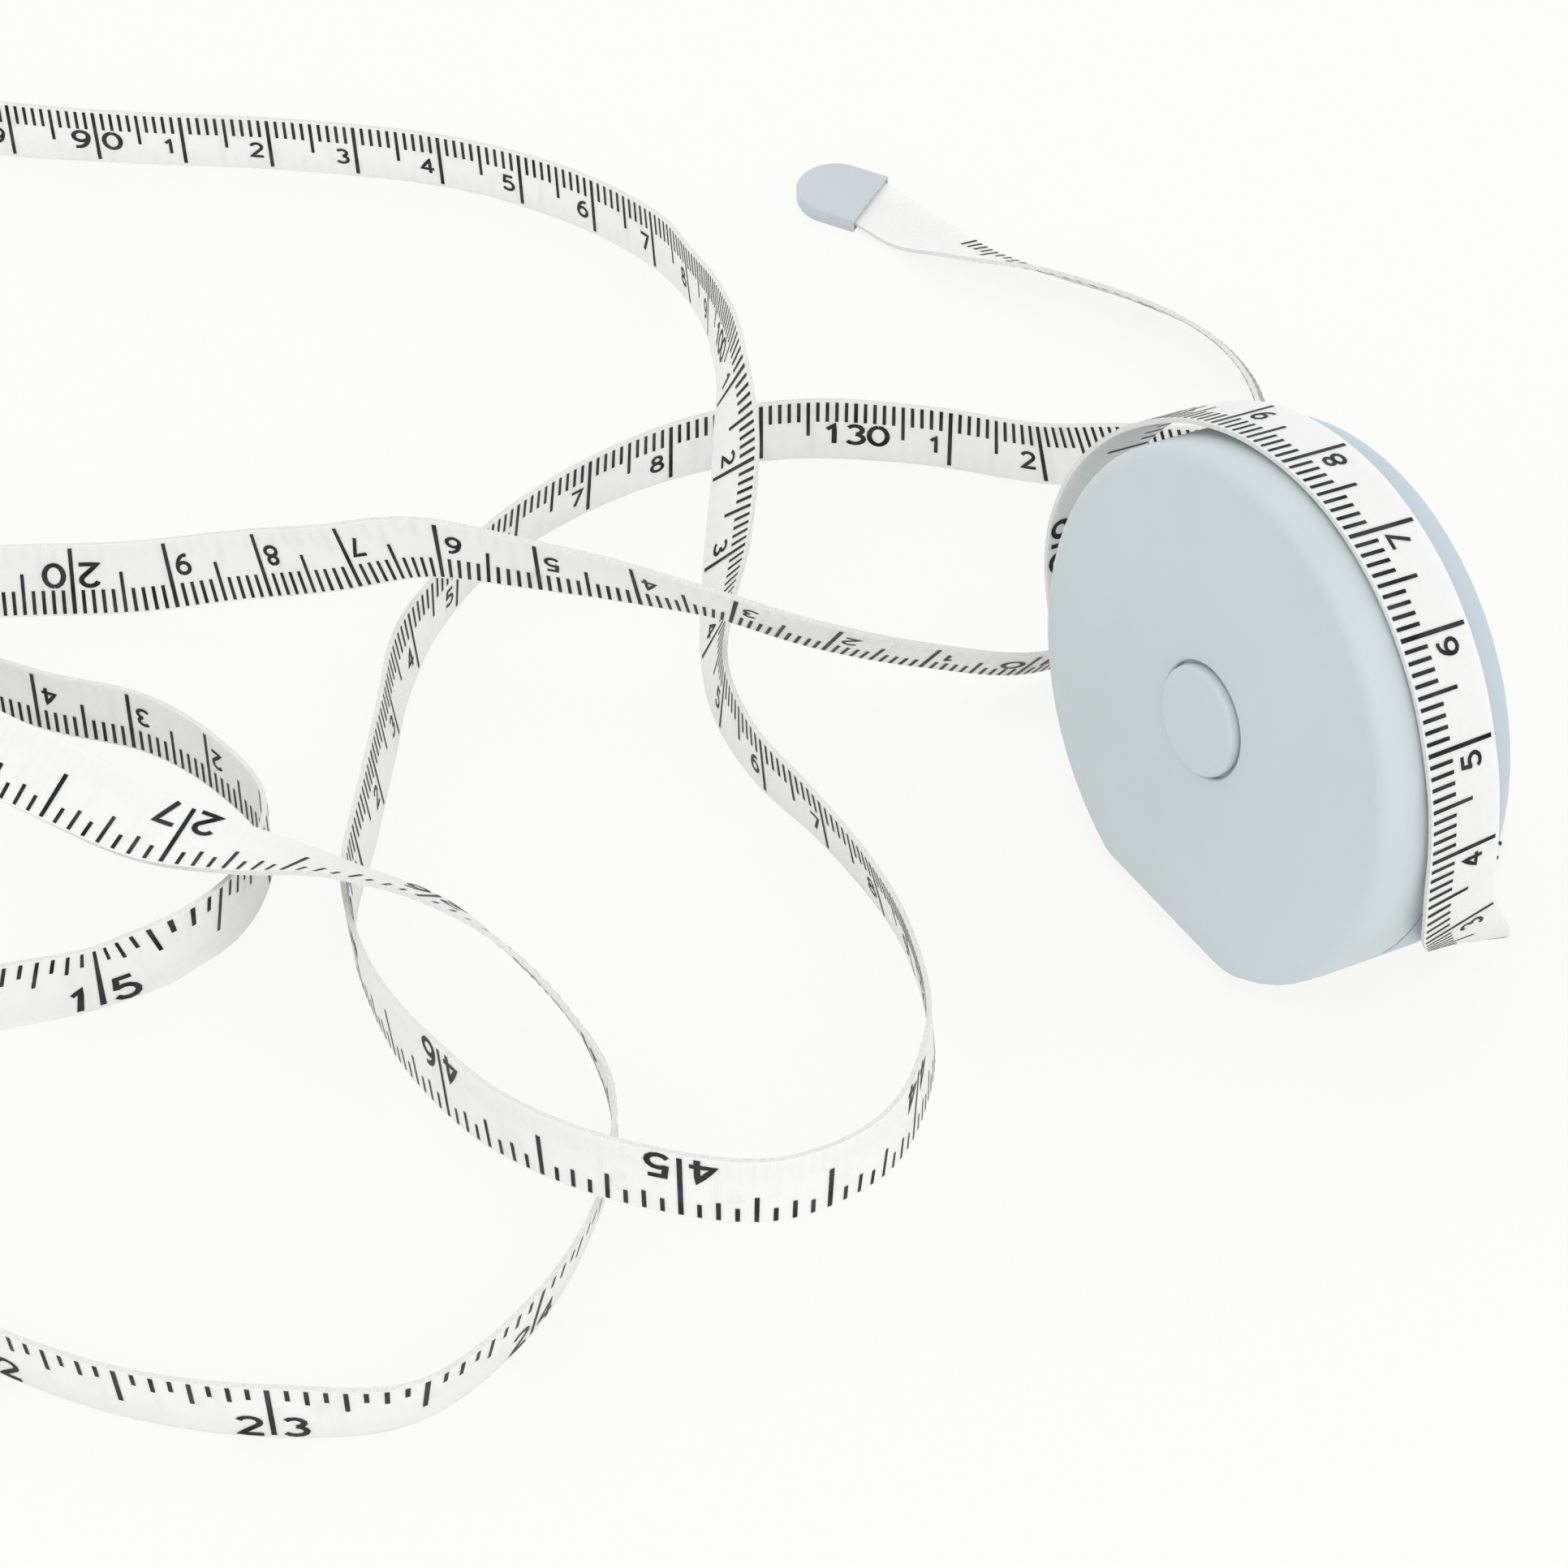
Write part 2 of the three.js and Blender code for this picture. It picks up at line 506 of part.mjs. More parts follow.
// Least gap of the tape to itself, measured on points over its face
function leastGap() {
  const points = [];
  for (const { p, f, s } of stretch(0, travelled, 0.5)) {
    for (const side of [-0.5, -0.25, 0, 0.25, 0.5]) {
      points.push({ p: p.clone().addScaledVector(f, side * TAPE_W), s });
    }
  }
  const cell = 2;
  const key = (x, y, z) => `${x},${y},${z}`;
  const cells = new Map();
  for (const q of points) {
    const k = key(...q.p.toArray().map((v) => Math.floor(v / cell)));
    if (!cells.has(k)) cells.set(k, []);
    cells.get(k).push(q);
  }
  let least = { gap: cell, at: 0, to: 0 };
  for (const q of points) {
    const [cx, cy, cz] = q.p.toArray().map((v) => Math.floor(v / cell));
    for (let n = 0; n < 27; n += 1) {
      const dy = (Math.floor(n / 3) % 3) - 1;
      const near = cells.get(key(cx + (n % 3) - 1, cy + dy, cz + Math.floor(n / 9) - 1));
      for (const o of near ?? []) {
        if (o.s - q.s < 15) continue;
        const gap = q.p.distanceTo(o.p) - TAPE_T;
        if (gap < least.gap) least = { gap, at: q.s, to: o.s };
      }
    }
  }
  return least;
}
const gapFound = leastGap();
console.log('tape length outside', travelled.toFixed(1), 'least gap', gapFound.gap.toFixed(2),
  'between', gapFound.at.toFixed(0), 'and', gapFound.to.toFixed(0));

// Tape nodes, cut with a small gap where one stretch hands over to the next
const CUT = 0.15;
const TAPE_START = 5;
const loopsFrom = knotAt(11);
const loopsTo = knotAt(ROUTE.length - 1);
const rimFrom = knotAt(ROUTE.length + RISE.length + 4);
const mouthFrom = knotAt(ROUTE.length + RISE.length + RIM_WRAP.length);
const tapeEnd = ribbon(stretch(TAPE_START, loopsFrom - CUT, 4), TAPE_W, TAPE_T);
const tapeLoops = ribbon(stretch(loopsFrom + CUT, loopsTo - CUT, 5), TAPE_W, TAPE_T);
const tapeRise = ribbon(stretch(loopsTo + CUT, rimFrom - CUT, 3), TAPE_W, TAPE_T);
const tapeRim = ribbon(stretch(rimFrom + CUT, mouthFrom - CUT, 3), TAPE_W, TAPE_T);
const tapeMouth = ribbon(stretch(mouthFrom + CUT, travelled, 2), TAPE_W, TAPE_T);

// Ferrule: flat sleeve with a round outer end, pinched on the free end
function ferrule() {
  const hw = FERRULE_W / 2;
  const shape = new THREE.Shape();
  shape.moveTo(0, -hw);
  shape.lineTo(FERRULE_STRAIGHT, -hw);
  shape.absellipse(FERRULE_STRAIGHT, 0, FERRULE_L - FERRULE_STRAIGHT, hw, -Math.PI / 2, Math.PI / 2, false);
  shape.lineTo(0, hw);
  shape.closePath();
  const body = new THREE.ExtrudeGeometry(shape, {
    depth: FERRULE_T - 0.6,
    bevelEnabled: true,
    bevelThickness: 0.3,
    bevelSize: 0.3,
    bevelOffset: -0.3,
    bevelSegments: 2,
    curveSegments: 16,
  });
  body.translate(0, 0, -(FERRULE_T - 0.6) / 2);
  const slot = new THREE.BoxGeometry(5.6, TAPE_W + 0.6, TAPE_T + 0.7).translate(2.3, 0, 0);
  const sleeve = fromSolid(toSolid(body).subtract(toSolid(slot)));
  const start = fine[0];
  const along = fine[0].p.clone().sub(stretch(TAPE_START + 3, TAPE_START + 4, 1)[0].p).normalize();
  const across = start.f.clone().addScaledVector(along, -start.f.dot(along)).normalize();
  const up = new THREE.Vector3().crossVectors(along, across);
  const base = stretch(TAPE_START + 4.8, TAPE_START + 6, 1)[0].p;
  const pose = new THREE.Matrix4().makeBasis(along, across, up).setPosition(base);
  return tidy(sleeve.applyMatrix4(pose));
}
const endFerrule = ferrule();

// Assembly
const group = new THREE.Group();
group.name = 'cloth_tape_measure';
function add(name, geometry, color, roughness, metalness, inCase) {
  const material = new THREE.MeshStandardMaterial({ color, roughness, metalness });
  if (inCase) geometry.applyMatrix4(casePose);
  geometry.computeVertexNormals();
  const mesh = new THREE.Mesh(geometry, material);
  mesh.name = name;
  group.add(mesh);
}
add('front_shell', frontShell, COLOURS.shell, 0.45, 0, true);
add('rear_shell', rearShell, COLOURS.shell, 0.45, 0, true);
add('mouth_guide', mouthGuide, COLOURS.shell, 0.5, 0, true);
add('push_button', pushButton, COLOURS.button, 0.4, 0, true);
add('brake_disc', brakeDisc, COLOURS.reel, 0.5, 0, true);
add('brake_pad', brakePad, COLOURS.rubber, 0.9, 0, true);
add('button_clip', buttonClip, COLOURS.steel, 0.35, 1, true);
add('button_spring', buttonSpring, COLOURS.steel, 0.3, 1, true);
add('arbor_post', arborPost, COLOURS.reel, 0.5, 0, true);
add('arbor_screw', arborScrew, COLOURS.steel, 0.3, 1, true);
add('reel_drum', reelDrum, COLOURS.reel, 0.5, 0, true);
add('reel_lid', reelLid, COLOURS.reel, 0.5, 0, true);
add('tape_anchor_pin', anchorPin, COLOURS.steel, 0.35, 1, true);
add('mainspring', mainspring, COLOURS.steel, 0.3, 1, true);
add('tape_tail', tapeTail, COLOURS.tape, 0.7, 0, true);
add('tape_mouth_run', tapeMouth, COLOURS.tape, 0.7, 0, false);
add('tape_rim_wrap', tapeRim, COLOURS.tape, 0.7, 0, false);
add('tape_rise', tapeRise, COLOURS.tape, 0.7, 0, false);
add('tape_loops', tapeLoops, COLOURS.tape, 0.7, 0, false);
add('tape_end_run', tapeEnd, COLOURS.tape, 0.7, 0, false);
add('end_ferrule', endFerrule, COLOURS.ferrule, 0.45, 0, false);

export default group;
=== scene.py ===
# %% [markdown]
# A pocket tape measure with its printed cloth tape pulled right out, lying in loose loops.
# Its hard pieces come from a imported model, which this script loads as a fixed frame.
# They could be modelled again here, but then the looks and the motion would drift apart.
# So everything made here is in metres in that same frame, and each piece goes where the model says.

# %% Load the frame
import json
import math
import bmesh
import bpy
from mathutils import Matrix, Vector


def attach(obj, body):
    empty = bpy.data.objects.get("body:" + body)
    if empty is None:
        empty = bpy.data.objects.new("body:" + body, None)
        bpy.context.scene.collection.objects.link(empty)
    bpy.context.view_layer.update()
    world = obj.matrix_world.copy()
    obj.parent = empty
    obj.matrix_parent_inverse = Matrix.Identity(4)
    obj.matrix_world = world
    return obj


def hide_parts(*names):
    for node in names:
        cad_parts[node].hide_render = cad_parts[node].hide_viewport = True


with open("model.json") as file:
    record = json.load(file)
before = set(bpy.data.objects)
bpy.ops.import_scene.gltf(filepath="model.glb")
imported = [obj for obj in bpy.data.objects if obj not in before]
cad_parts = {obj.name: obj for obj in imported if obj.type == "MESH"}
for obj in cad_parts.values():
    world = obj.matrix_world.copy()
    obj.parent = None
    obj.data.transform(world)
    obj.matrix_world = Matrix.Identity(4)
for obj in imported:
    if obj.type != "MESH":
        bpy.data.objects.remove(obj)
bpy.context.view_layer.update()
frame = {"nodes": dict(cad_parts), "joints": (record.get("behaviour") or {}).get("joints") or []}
nodes = frame["nodes"]

# %% [markdown]
# The camera stands where the picture was taken from: a long lens, well above the table.
# It could be turned by eye until the outlines agree, but with a long lens many places look alike.
# The printed marks lie at known distances along the tape, so its place and turn were fitted to them.

# %% Camera
CAMERA_AT = Vector((0.21213, -0.17981, 0.269))
CAMERA_TURN = math.radians(58.7)
CAMERA_DIP = math.radians(43.0)
PICTURE_PX = 1932
FOCAL_PX = 5048
SENSOR_MM = 36
NEAR_CLIP = 0.01
camera_data = bpy.data.cameras.new("camera")
camera_data.sensor_width = SENSOR_MM
camera_data.lens = SENSOR_MM * FOCAL_PX / PICTURE_PX
camera_data.clip_start = NEAR_CLIP
camera = bpy.data.objects.new("camera", camera_data)
bpy.context.scene.collection.objects.link(camera)
bpy.context.scene.camera = camera
flat_reach = math.cos(CAMERA_DIP)
backward = Vector((math.sin(CAMERA_TURN) * flat_reach, -math.cos(CAMERA_TURN) * flat_reach,
                   math.sin(CAMERA_DIP)))
camera.location = CAMERA_AT
camera.rotation_mode = "QUATERNION"
camera.rotation_quaternion = (-backward).to_track_quat("-Z", "Y")
print("lens", round(camera_data.lens, 1), "mm")

# %% [markdown]
# The tape is a flat ribbon that stands on its edge, leans over, crosses itself and ends in the case.
# A cloth simulation could let it fall, but not into the loops that the photograph shows.
# So its route is a list of given places: plan x and y, the height of the lower edge,
# and how far the upper edge leans to the left of the run, in degrees. Past 90 it has turned over.

# %% Tape route
TAPE_WIDTH = 0.0075
TAPE_THICK = 0.00045
ROUTE = [
    (-0.1186, 0.0228, 0.00085, -96), (-0.1112, 0.0271, 0.0008, -96), (-0.1036, 0.0295, 0.0005, -90),
    (-0.0951, 0.0315, 0.0005, -66), (-0.0866, 0.0367, 0.0002, -50), (-0.0787, 0.0413, 0.0002, -49),
    (-0.0706, 0.0441, 0.0002, -46), (-0.0614, 0.0436, 0.0002, -34), (-0.0515, 0.039, 0.0002, -12),
    (-0.0432, 0.0312, 0.0002, 16), (-0.0366, 0.0212, 0.0002, 28), (-0.0339, 0.0104, 0.0002, 24),
    (-0.0323, -0.0018, 0.0012, 36), (-0.0367, -0.0126, 0.0036, 34), (-0.0416, -0.022, 0.0068, 31),
    (-0.048, -0.0298, 0.0095, 29), (-0.0547, -0.0354, 0.0095, 20), (-0.0621, -0.0424, 0.0095, 12),
    (-0.0696, -0.0501, 0.0095, 2), (-0.0768, -0.0571, 0.006, -6), (-0.0844, -0.0639, 0.0026, -13),
    (-0.0902, -0.0719, 0.0006, -20), (-0.0974, -0.0842, 0.0002, -22), (-0.1046, -0.0996, 0.0002, -16),
    (-0.108, -0.117, 0.0002, -8), (-0.1053, -0.1338, 0.0002, 0), (-0.0957, -0.1484, 0.0002, 0),
    (-0.0803, -0.1569, 0.0012, 0), (-0.0641, -0.1563, 0.0045, 0), (-0.0506, -0.1461, 0.0082, 0),
    (-0.0427, -0.1317, 0.0096, 0), (-0.0408, -0.1182, 0.0055, 0), (-0.0415, -0.1072, 0.002, 0),
    (-0.041, -0.098, 0.0002, 0), (-0.0392, -0.0899, 0.0024, 0), (-0.0446, -0.0814, 0.0002, 0),
    (-0.0515, -0.0764, 0.0002, 0), (-0.0615, -0.077, 0.0002, 0), (-0.0701, -0.0803, 0.0002, 0),
    (-0.0772, -0.0865, 0.0002, 0), (-0.0875, -0.0947, 0.0002, 0), (-0.0924, -0.1054, 0.0002, 0),
    (-0.0862, -0.1157, 0.0002, 0), (-0.0695, -0.1228, 0.0002, 0), (-0.0503, -0.1288, 0.0002, -6),
    (-0.0326, -0.1313, 0.0002, -8), (-0.0177, -0.129, 0.0002, -8), (-0.0055, -0.123, 0.0002, -8),
    (0.0044, -0.1154, 0.0002, -8), (0.012, -0.1061, 0.0002, -7), (0.0168, -0.0962, 0.0002, -15),
    (0.014, -0.0844, 0.0002, -14), (0.007, -0.0741, 0.0002, -13), (-0.003, -0.0665, 0.0006, 2),
    (-0.0113, -0.0654, 0.0028, 20), (-0.0197, -0.0675, 0.0062, 30), (-0.0269, -0.0713, 0.009, 45),
    (-0.0342, -0.0767, 0.0097, 54), (-0.0415, -0.0819, 0.0097, 76), (-0.0496, -0.0882, 0.0097, 100),
    (-0.0589, -0.0937, 0.0097, 118), (-0.0701, -0.0996, 0.0097, 132), (-0.0844, -0.1049, 0.0097, 148),
    (-0.1019, -0.1097, 0.0097, 164), (-0.1197, -0.1125, 0.007, 174), (-0.1409, -0.1125, 0.0032, 180),
    (-0.1628, -0.1082, 0.0006, 180), (-0.1823, -0.0986, 0.0002, 180), (-0.1929, -0.0839, 0.0002, 180),
    (-0.1878, -0.0666, 0.0002, 180), (-0.1718, -0.0519, 0.0002, 177), (-0.1625, -0.0403, 0.0002, 172),
    (-0.1509, -0.0243, 0.0002, 172), (-0.1379, -0.0101, 0.0002, 173), (-0.125, -0.002, 0.0002, 178),
    (-0.1124, 0.0011, 0.0009, 180), (-0.0999, -0.001, 0.0034, 180), (-0.0881, -0.0052, 0.0072, 190),
    (-0.0782, -0.0097, 0.0096, 200), (-0.0694, -0.0144, 0.007, 216), (-0.0614, -0.0202, 0.0026, 218),
    (-0.0534, -0.0261, 0.0002, 204), (-0.0445, -0.0307, 0.0002, 186), (-0.0352, -0.0323, 0.0002, 176),
    (-0.0252, -0.0317, 0.0002, 170), (-0.014, -0.032, 0.0002, 169), (-0.0009, -0.0362, 0.0034, 172),
    (0.0125, -0.044, 0.008, 178), (0.0214, -0.0545, 0.0114, 180), (0.0215, -0.0644, 0.012, 180),
    (0.0142, -0.0734, 0.012, 180), (0.0042, -0.0796, 0.0116, 180), (-0.0096, -0.0812, 0.0086, 180),
    (-0.0249, -0.079, 0.0036, 184), (-0.0387, -0.0743, 0.0002, 184), (-0.0478, -0.0677, 0.0002, 187),
    (-0.057, -0.061, 0.0002, 187), (-0.065, -0.0552, 0.0002, 188), (-0.0712, -0.0481, 0.0002, 178),
    (-0.0768, -0.0379, 0.0002, 171), (-0.0799, -0.0252, 0.0002, 173), (-0.0798, -0.013, 0.0002, 178),
    (-0.0764, -0.0024, 0.0002, 180), (-0.0689, 0.0079, 0.0002, 180), (-0.0591, 0.0166, 0.0008, 180),
]
print("places on the table", len(ROUTE))

# %% [markdown]
# Behind the case the tape lifts and turns over on to the rim, runs over it and goes in at the mouth.
# The turn could be made with the tilt of a Blender curve, but that is hard to steer at tight places.
# So the rise lists centre points with the direction of the centimetre edge.
# The rim lists angle, radius and depth in the case's own frame, and the mouth run lists x and z there.

# %% Rise, rim and mouth
RISE = [
    (-0.0486, 0.0226, 0.0088, 0, 0, 1), (-0.0385, 0.027, 0.012, 0, 0, 1),
    (-0.029, 0.0226, 0.0112, 0, -0.05, 1), (-0.0195, 0.0152, 0.0088, -0.1, -0.15, 0.97),
    (-0.0095, 0.0176, 0.0065, -0.25, -0.35, 0.88), (-0.0018, 0.0242, 0.0044, -0.38, -0.55, 0.72),
    (0.0054, 0.0218, 0.0029, -0.47, -0.7, 0.5), (0.0099, 0.0166, 0.0022, -0.51, -0.79, 0.28),
    (0.013, 0.013, 0.0022, -0.53, -0.83, 0.12), (0.0172, 0.0107, 0.0038, -0.5, -0.86, 0.06),
    (0.0219, 0.0079, 0.0074, -0.28, -0.955, 0.08), (0.0246, 0.0044, 0.0127, -0.06, -0.99, 0.13),
]
RIM_WRAP = [
    (-14, 0.0264, 0.0029), (-4, 0.026, 0.0016), (7, 0.0258, 0.0009), (20, 0.0257, 0.0004),
    (40, 0.0256, 0.0001), (60, 0.0256, 0), (80, 0.0256, 0), (100, 0.0257, 0), (118, 0.0261, 0),
    (135, 0.0268, 0), (152, 0.0282, 0), (168, 0.0296, 0), (183, 0.0302, 0), (197, 0.0292, 0),
    (209, 0.0272, 0),
]
MOUTH_RUN = [(-0.0202, -0.0152), (-0.017, -0.0167), (-0.012, -0.0173), (-0.006, -0.0174), (0, -0.0174)]
print("places behind, on the rim and in the mouth", len(RISE), len(RIM_WRAP), len(MOUTH_RUN))

# %% [markdown]
# All these places become one list of knots: the middle of the tape and the direction of one edge.
# The case leans back on its foot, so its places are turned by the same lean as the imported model.
# The leaned numbers could be typed in, but the plain ones are easier to read and to mend.

# %% Knots of the route
CASE_LEAN = math.radians(7.4)
reel_joint = next(j for j in frame["joints"] if j["name"] == "reel_spin")
case_pose = Matrix.Translation(reel_joint["pos_m"]) @ Matrix.Rotation(-CASE_LEAN, 4, "X")
case_front = case_pose.to_3x3() @ Vector((0, -1, 0))


def floor_knot(i):
    x, y, low, lean = ROUTE[i]
    before = ROUTE[max(i - 1, 0)]
    after = ROUTE[min(i + 1, len(ROUTE) - 1)]
    run = Vector((after[0] - before[0], after[1] - before[1], 0)).normalized()
    left = Vector((-run.y, run.x, 0))
    tilt = math.radians(lean)
    height = low + abs(math.cos(tilt)) * TAPE_WIDTH / 2 + abs(math.sin(tilt)) * TAPE_THICK / 2
    return Vector((x, y, height)), Vector((0, 0, -math.cos(tilt))) - left * math.sin(tilt)


def rim_point(degrees, radius, depth):
    angle = math.radians(degrees)
    return case_pose @ Vector((radius * math.cos(angle), depth, radius * math.sin(angle)))


knots = [floor_knot(i) for i in range(len(ROUTE))]
knots += [(Vector(row[:3]), Vector(row[3:]).normalized()) for row in RISE]
knots += [(rim_point(*row), case_front) for row in RIM_WRAP]
knots += [(case_pose @ Vector((x, 0, z)), case_front) for x, z in MOUTH_RUN]
print("knots", len(knots))

# %% [markdown]
# One smooth curve goes through all the knots, and a second one carries the direction of the edge.
# A Bezier curve with automatic handles could do it, but it swings out where the knots lie unevenly.
# This spline bends with the root of the distance between its knots, so tight turns stay tight.

# %% Smooth curve
KNOT_STEPS = 24
KNOT_POWER = 0.5
LEAST_SPAN = 1e-4


def smooth_line(points):
    ends = [2 * points[0] - points[1], *points, 2 * points[-1] - points[-2]]
    line = []
    for a, b, c, d in zip(ends, ends[1:], ends[2:], ends[3:]):
        first, middle, last = [(q - p).length ** KNOT_POWER for p, q in ((a, b), (b, c), (c, d))]
        middle = middle if middle > LEAST_SPAN else 1.0
        first = first if first > LEAST_SPAN else middle
        last = last if last > LEAST_SPAN else middle
        start = ((b - a) / first - (c - a) / (first + middle) + (c - b) / middle) * middle
        stop = ((c - b) / middle - (d - b) / (middle + last) + (d - c) / last) * middle
        for k in range(KNOT_STEPS):
            t = k / KNOT_STEPS
            line.append(b + start * t + (3 * (c - b) - 2 * start - stop) * t * t
                        + (2 * (b - c) + start + stop) * t ** 3)
    return [*line, points[-1]]


tape_line = smooth_line([place for place, edge in knots])
tape_edges = smooth_line([edge for place, edge in knots])
print("points on the curve", len(tape_line))

# %% [markdown]
# Cloth bends evenly, so the ribbon gets even steps, and a distance along it is a count of steps.
# A Resample Curve node could cut the curve, but the print needs the same stations as numbers.
# Each station holds the place, the direction of the edge and the direction of the face.

# %% Even steps
STEP = 0.001
JUST_INSIDE = 1e-9


def even_steps(points, edges):
    lengths = [0.0]
    for p, q in zip(points, points[1:]):
        lengths.append(lengths[-1] + (q - p).length)
    count = round(lengths[-1] / STEP)
    places = []
    j = 0
    for i in range(count + 1):
        s = min(i * lengths[-1] / count, lengths[-1] - JUST_INSIDE)
        while lengths[j + 1] < s:
            j += 1
        part = (s - lengths[j]) / (lengths[j + 1] - lengths[j])
        places.append((points[j].lerp(points[j + 1], part), edges[j].lerp(edges[j + 1], part)))
    stations = []
    for i, (place, edge) in enumerate(places):
        run = (places[min(i + 1, count)][0] - places[max(i - 1, 0)][0]).normalized()
        edge = (edge - run * edge.dot(run)).normalized()
        stations.append((place, edge, run.cross(edge)))
    return stations, lengths[-1] / count


tape_stations, tape_step = even_steps(tape_line, tape_edges)
tape_length = tape_step * (len(tape_stations) - 1)
print("tape outside and in the mouth", round(tape_length, 4), "m")

# %% [markdown]
# The real tape is printed flat and bent later. The same is done here, with x along it and y across it.
# A Curve modifier could bend it, but its tilt is hard to steer where the ribbon turns over.
# One function lays any flat point on to the route, so that the ink always follows the cloth.

# %% Laying flat points on the route
BEFORE_LAST = 1.001


def lay(point, stations, step):
    at = max(0.0, min(point[0] / step, len(stations) - BEFORE_LAST))
    i = int(at)
    here, after = stations[i], stations[i + 1]
    place, edge, face = [a.lerp(b, at - i) for a, b in zip(here, after)]
    return place + edge * point[1] + face * point[2]


halfway = lay((tape_length / 2, 0, 0), tape_stations, tape_step)
print("halfway along the tape", [round(v, 4) for v in halfway])

# %% [markdown]
# Real surfaces are never quite even, so each finish is one shader with a little noise in it.
# A painted picture could do that, but noise in the object's own coordinates needs no unwrapping.
# These helpers start a finish, add a noise and turn it into a colour between two close shades.

# %% Finish helpers
RAMP_ENDS = (0.3, 0.7)
NOISE_DETAIL = 3.0


def new_finish(name, roughness, metallic=0.0):
    material = bpy.data.materials.new(name)
    material.use_nodes = True
    shader = material.node_tree.nodes["Principled BSDF"]
    shader.inputs["Roughness"].default_value = roughness
    shader.inputs["Metallic"].default_value = metallic
    return material, material.node_tree.nodes, material.node_tree.links, shader


def noise_at(tree, links, source, scale, detail=NOISE_DETAIL):
    noise = tree.new("ShaderNodeTexNoise")
    noise.inputs["Scale"].default_value = scale
    noise.inputs["Detail"].default_value = detail
    links.new(source, noise.inputs["Vector"])
    return noise.outputs["Fac"]


def colour_between(tree, links, factor, low, high):
    ramp = tree.new("ShaderNodeValToRGB")
    for stop, position, colour in zip(ramp.color_ramp.elements, RAMP_ENDS, (low, high)):
        stop.position = position
        stop.color = (*colour, 1)
    links.new(factor, ramp.inputs["Fac"])
    return ramp.outputs["Color"]


print("colours change between", *RAMP_ENDS, "of the noise")

# %% [markdown]
# Moulded plastic has a faint grain in its gloss and its surface, and a slight cloud in its colour.
# The grain could be modelled, but it is only hundredths of a millimetre deep, so a bump is enough.
# One noise drives both the gloss and the bump, so that they change at the same spots.

# %% Moulded plastic
CLOUD_SCALE = 90
GLOSS_SPREAD = 0.06
GRAIN_DEPTH = 0.00002
GRAIN_STRENGTH = 0.25
MM_PER_METRE = 1000


def value_between(tree, links, factor, low, high):
    spread = tree.new("ShaderNodeMapRange")
    spread.inputs["To Min"].default_value = low
    spread.inputs["To Max"].default_value = high
    links.new(factor, spread.inputs["Value"])
    return spread.outputs["Result"]


def bump_from(tree, links, height, shader, distance, strength):
    bump = tree.new("ShaderNodeBump")
    bump.inputs["Distance"].default_value = distance
    bump.inputs["Strength"].default_value = strength
    links.new(height, bump.inputs["Height"])
    links.new(bump.outputs["Normal"], shader.inputs["Normal"])


def moulded_plastic(name, low, high, roughness, grain):
    material, tree, links, shader = new_finish(name, roughness)
    where = tree.new("ShaderNodeTexCoord").outputs["Object"]
    cloud = noise_at(tree, links, where, CLOUD_SCALE)
    links.new(colour_between(tree, links, cloud, low, high), shader.inputs["Base Color"])
    fine = noise_at(tree, links, where, grain)
    gloss = value_between(tree, links, fine, roughness - GLOSS_SPREAD, roughness + GLOSS_SPREAD)
    links.new(gloss, shader.inputs["Roughness"])
    bump_from(tree, links, fine, shader, GRAIN_DEPTH, GRAIN_STRENGTH)
    return material


print("grain", round(GRAIN_DEPTH * MM_PER_METRE, 3), "mm deep")

# %% [markdown]
# The case is pale blue-grey plastic with a satin face. The button is a touch lighter, the back bluer.
# Inside are white nylon wheels and a black rubber pad.
# Each could have a node tree of its own. One table of two shades, roughness and grain is easier to compare.

# %% Plastic and rubber
PLASTICS = {
    "case_plastic": ((0.580, 0.640, 0.652), (0.602, 0.663, 0.675), 0.42, 3500),
    "rear_plastic": ((0.515, 0.588, 0.638), (0.537, 0.608, 0.658), 0.42, 3500),
    "button_plastic": ((0.584, 0.645, 0.657), (0.606, 0.668, 0.680), 0.38, 3500),
    "ferrule_plastic": ((0.550, 0.594, 0.616), (0.575, 0.620, 0.642), 0.35, 4200),
    "reel_nylon": ((0.74, 0.75, 0.73), (0.79, 0.80, 0.78), 0.5, 2600),
    "pad_rubber": ((0.03, 0.03, 0.033), (0.045, 0.046, 0.05), 0.85, 5200),
}
plastic = {name: moulded_plastic(name, *row) for name, row in PLASTICS.items()}
print("plastics", *plastic)

# %% [markdown]
# The springs, the clip, the pin and the screw are bright steel with fine lines in it.
# Anisotropic shading could show the lines, but a noise stretched along x reads the same at this size.

# %% Spring steel
STEEL_ROUGHNESS = 0.28
STEEL_SHADES = ((0.52, 0.53, 0.55), (0.68, 0.69, 0.71))
STEEL_GLOSS = (0.2, 0.4)
LINE_STRETCH = (400, 9000, 9000)
LINE_DETAIL = 2


def spring_steel():
    material, tree, links, shader = new_finish("spring_steel", STEEL_ROUGHNESS, 1.0)
    where = tree.new("ShaderNodeTexCoord").outputs["Object"]
    brushed = tree.new("ShaderNodeMapping")
    brushed.inputs["Scale"].default_value = LINE_STRETCH
    links.new(where, brushed.inputs["Vector"])
    lines = noise_at(tree, links, brushed.outputs["Vector"], 1, LINE_DETAIL)
    links.new(colour_between(tree, links, lines, *STEEL_SHADES), shader.inputs["Base Color"])
    links.new(value_between(tree, links, lines, *STEEL_GLOSS), shader.inputs["Roughness"])
    return material


steel = spring_steel()
print("made", steel.name)

# %% [markdown]
# The tape is glass cloth with a white coat: the threads still show as a faint weave under it.
# The threads could be modelled, but there would be thousands for a relief of 0.03 mm.
# Two waves in the tape's flat coordinates give the weave, so it turns and twists with the tape.
# The thin coat lets a little light through, which keeps the inner sides of the loops bright.

